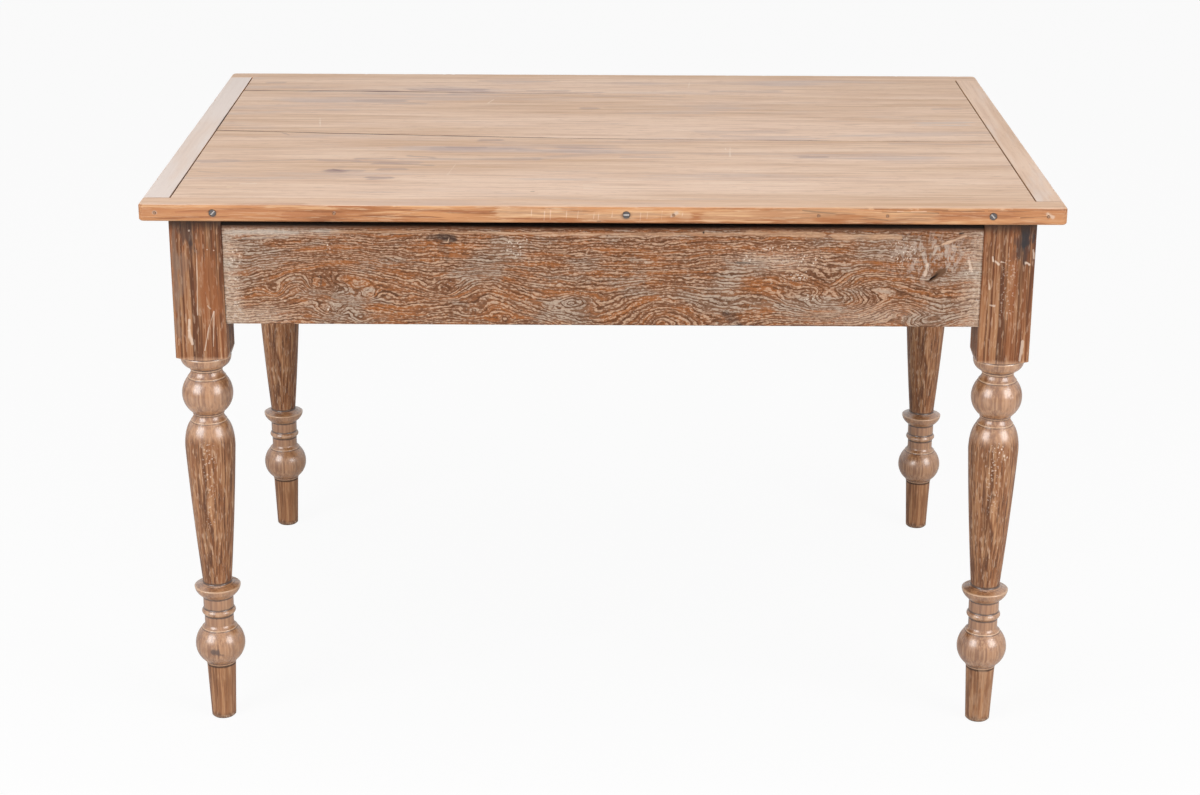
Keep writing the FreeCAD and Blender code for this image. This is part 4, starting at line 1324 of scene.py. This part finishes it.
# %% A tree that sets one slotted screw at every point
def screw_tree():
    tree = Tree("slotted screws", {
        "Sides": ("Int", 32), "Head Radius": ("Float", 0.0047), "Head Depth": ("Float", 0.0028),
        "Shank Radius": ("Float", 0.0024), "Length": ("Float", 0.06), "Slot Width": ("Float", 0.0017),
        "Slot Depth": ("Float", 0.0011), "Steel": ("Material", None)})
    shank, depth, head_radius = map(tree.asked, ("Shank Radius", "Head Depth", "Head Radius"))

    def shaft(wide, narrow, rise, drop):
        """A tapering shaft: wide at the height -drop, narrow at its lower end."""
        sizes = {"Radius Top": wide, "Radius Bottom": narrow, "Depth": rise}
        cone = tree.node("GeometryNodeMeshCone", {}, {"Vertices": tree.asked("Sides"), **sizes})
        down = tree.triple(z=(rise + drop) * -1.0)
        return tree.node("GeometryNodeTransform", {}, {"Geometry": cone, "Translation": down})

    def combined(way, solids):
        return tree.node("GeometryNodeMeshBoolean", {"operation": way, "solver": "EXACT"}, solids)

    head = shaft(head_radius, shank, depth, 0.0)
    body = shaft(shank * 0.98, shank * 0.3, tree.asked("Length") - depth * 0.5, depth * 0.5)
    slot_size = tree.triple(head_radius * 2.4, tree.asked("Slot Width"), tree.asked("Slot Depth") * 2.0)
    slot = tree.node("GeometryNodeMeshCube", {}, {"Size": slot_size})
    whole = combined("DIFFERENCE", {0: combined("UNION", {1: [head, body]}), 1: slot})
    turn = tree.node("GeometryNodeInputNamedAttribute", {"data_type": "FLOAT_VECTOR"}, {"Name": "turn"})
    points = tree.node("GeometryNodeMeshToPoints", {}, {"Mesh": tree.asked("Geometry")})
    inputs = {"Points": points, "Instance": whole, "Rotation": turn}
    tree.close(tree.node("GeometryNodeInstanceOnPoints", {}, inputs), tree.asked("Steel"))
    return tree


def set_screws(name, node, places):
    """places are (x, y, z) and a turn about X, Y and Z for each screw."""
    carrier = bpy.data.meshes.new(name + " places")
    carrier.from_pydata([place for place, _ in places], [], [])
    turns = carrier.attributes.new("turn", "FLOAT_VECTOR", "POINT")
    turns.data.foreach_set("vector", [angle for _, turn in places for angle in turn])
    made = screws.run(carrier, {"Steel": steel}, name)
    outward(made)
    add_piece(name, made, [node], steel)
    made.polygons.foreach_set("use_smooth", [False] * len(made.polygons))


# %% Dull steel, filler and plain wood
def steel_finish():
    """Dark heads. Their slots, a little below the face of the edge, are pale grey, a painted glint."""
    paint = Paint("dull steel")
    spread = paint.cloud(paint.place((0, 0, 0), (900, 900, 900)))
    depth = paint.part(paint.vector("ABSOLUTE", paint.place()), 1)
    slot_glint = paint.fade(depth, 0.4297, 0.4293) * paint.fade(depth, 0.4270, 0.4280)
    colour = paint.mix(spread, (0.07, 0.06, 0.06), (0.20, 0.18, 0.175))
    # Painted highlight: the slots are pale grey and not metallic.
    colour = paint.mix(slot_glint, colour, (0.72, 0.68, 0.65))
    paint.put(paint.shader.inputs["Metallic"], 0.8 - slot_glint * 0.8)
    return paint.finish(colour, 0.42 + spread * 0.25, spread, 0.0002, 0.3)


def filler_finish():
    """Old putty over the sunk nail heads, almost as brown as the edge."""
    paint = Paint("filled nail heads")
    spread = paint.cloud(paint.place((0, 0, 0), (700, 700, 700)))
    colour = paint.mix(spread, (0.30, 0.155, 0.085), (0.42, 0.245, 0.15))
    return paint.finish(colour, 0.8, spread, 0.0002, 0.3)


def plain_wood_finish():
    paint = Paint("planed button wood")
    lines = paint.cloud(paint.place((0, 0, 0), (60, 60, 500)))
    colour = paint.mix(lines, (0.30, 0.15, 0.08), (0.50, 0.30, 0.18))
    return paint.finish(colour, 0.6 + lines * 0.1, lines, 0.0004, 0.4)


# %% Screws in the edges, and the solids that only get a finish
steel = steel_finish()
screws = screw_tree()
quarter = math.pi / 2
slot_slants = (quarter / 2, 0.0, -quarter / 2)
front_places, rear_places = [], []
for x, slant in zip(screw_spots, slot_slants):
    front_places.append(((x * mm, -half_depth, edge_middle), (quarter, -slant, 0)))
    rear_places.append(((-x * mm, half_depth, edge_middle), (-quarter, slant, 0)))
set_screws("slotted_screws_front", "edge_screws_front", front_places)
set_screws("slotted_screws_rear", "edge_screws_rear", rear_places)

carried = {"edge_nails_front": filler_finish(), "button_screws": steel,
           "top_buttons": plain_wood_finish()}
for node, material in carried.items():
    nodes[node].data.materials.clear()
    nodes[node].data.materials.append(material)
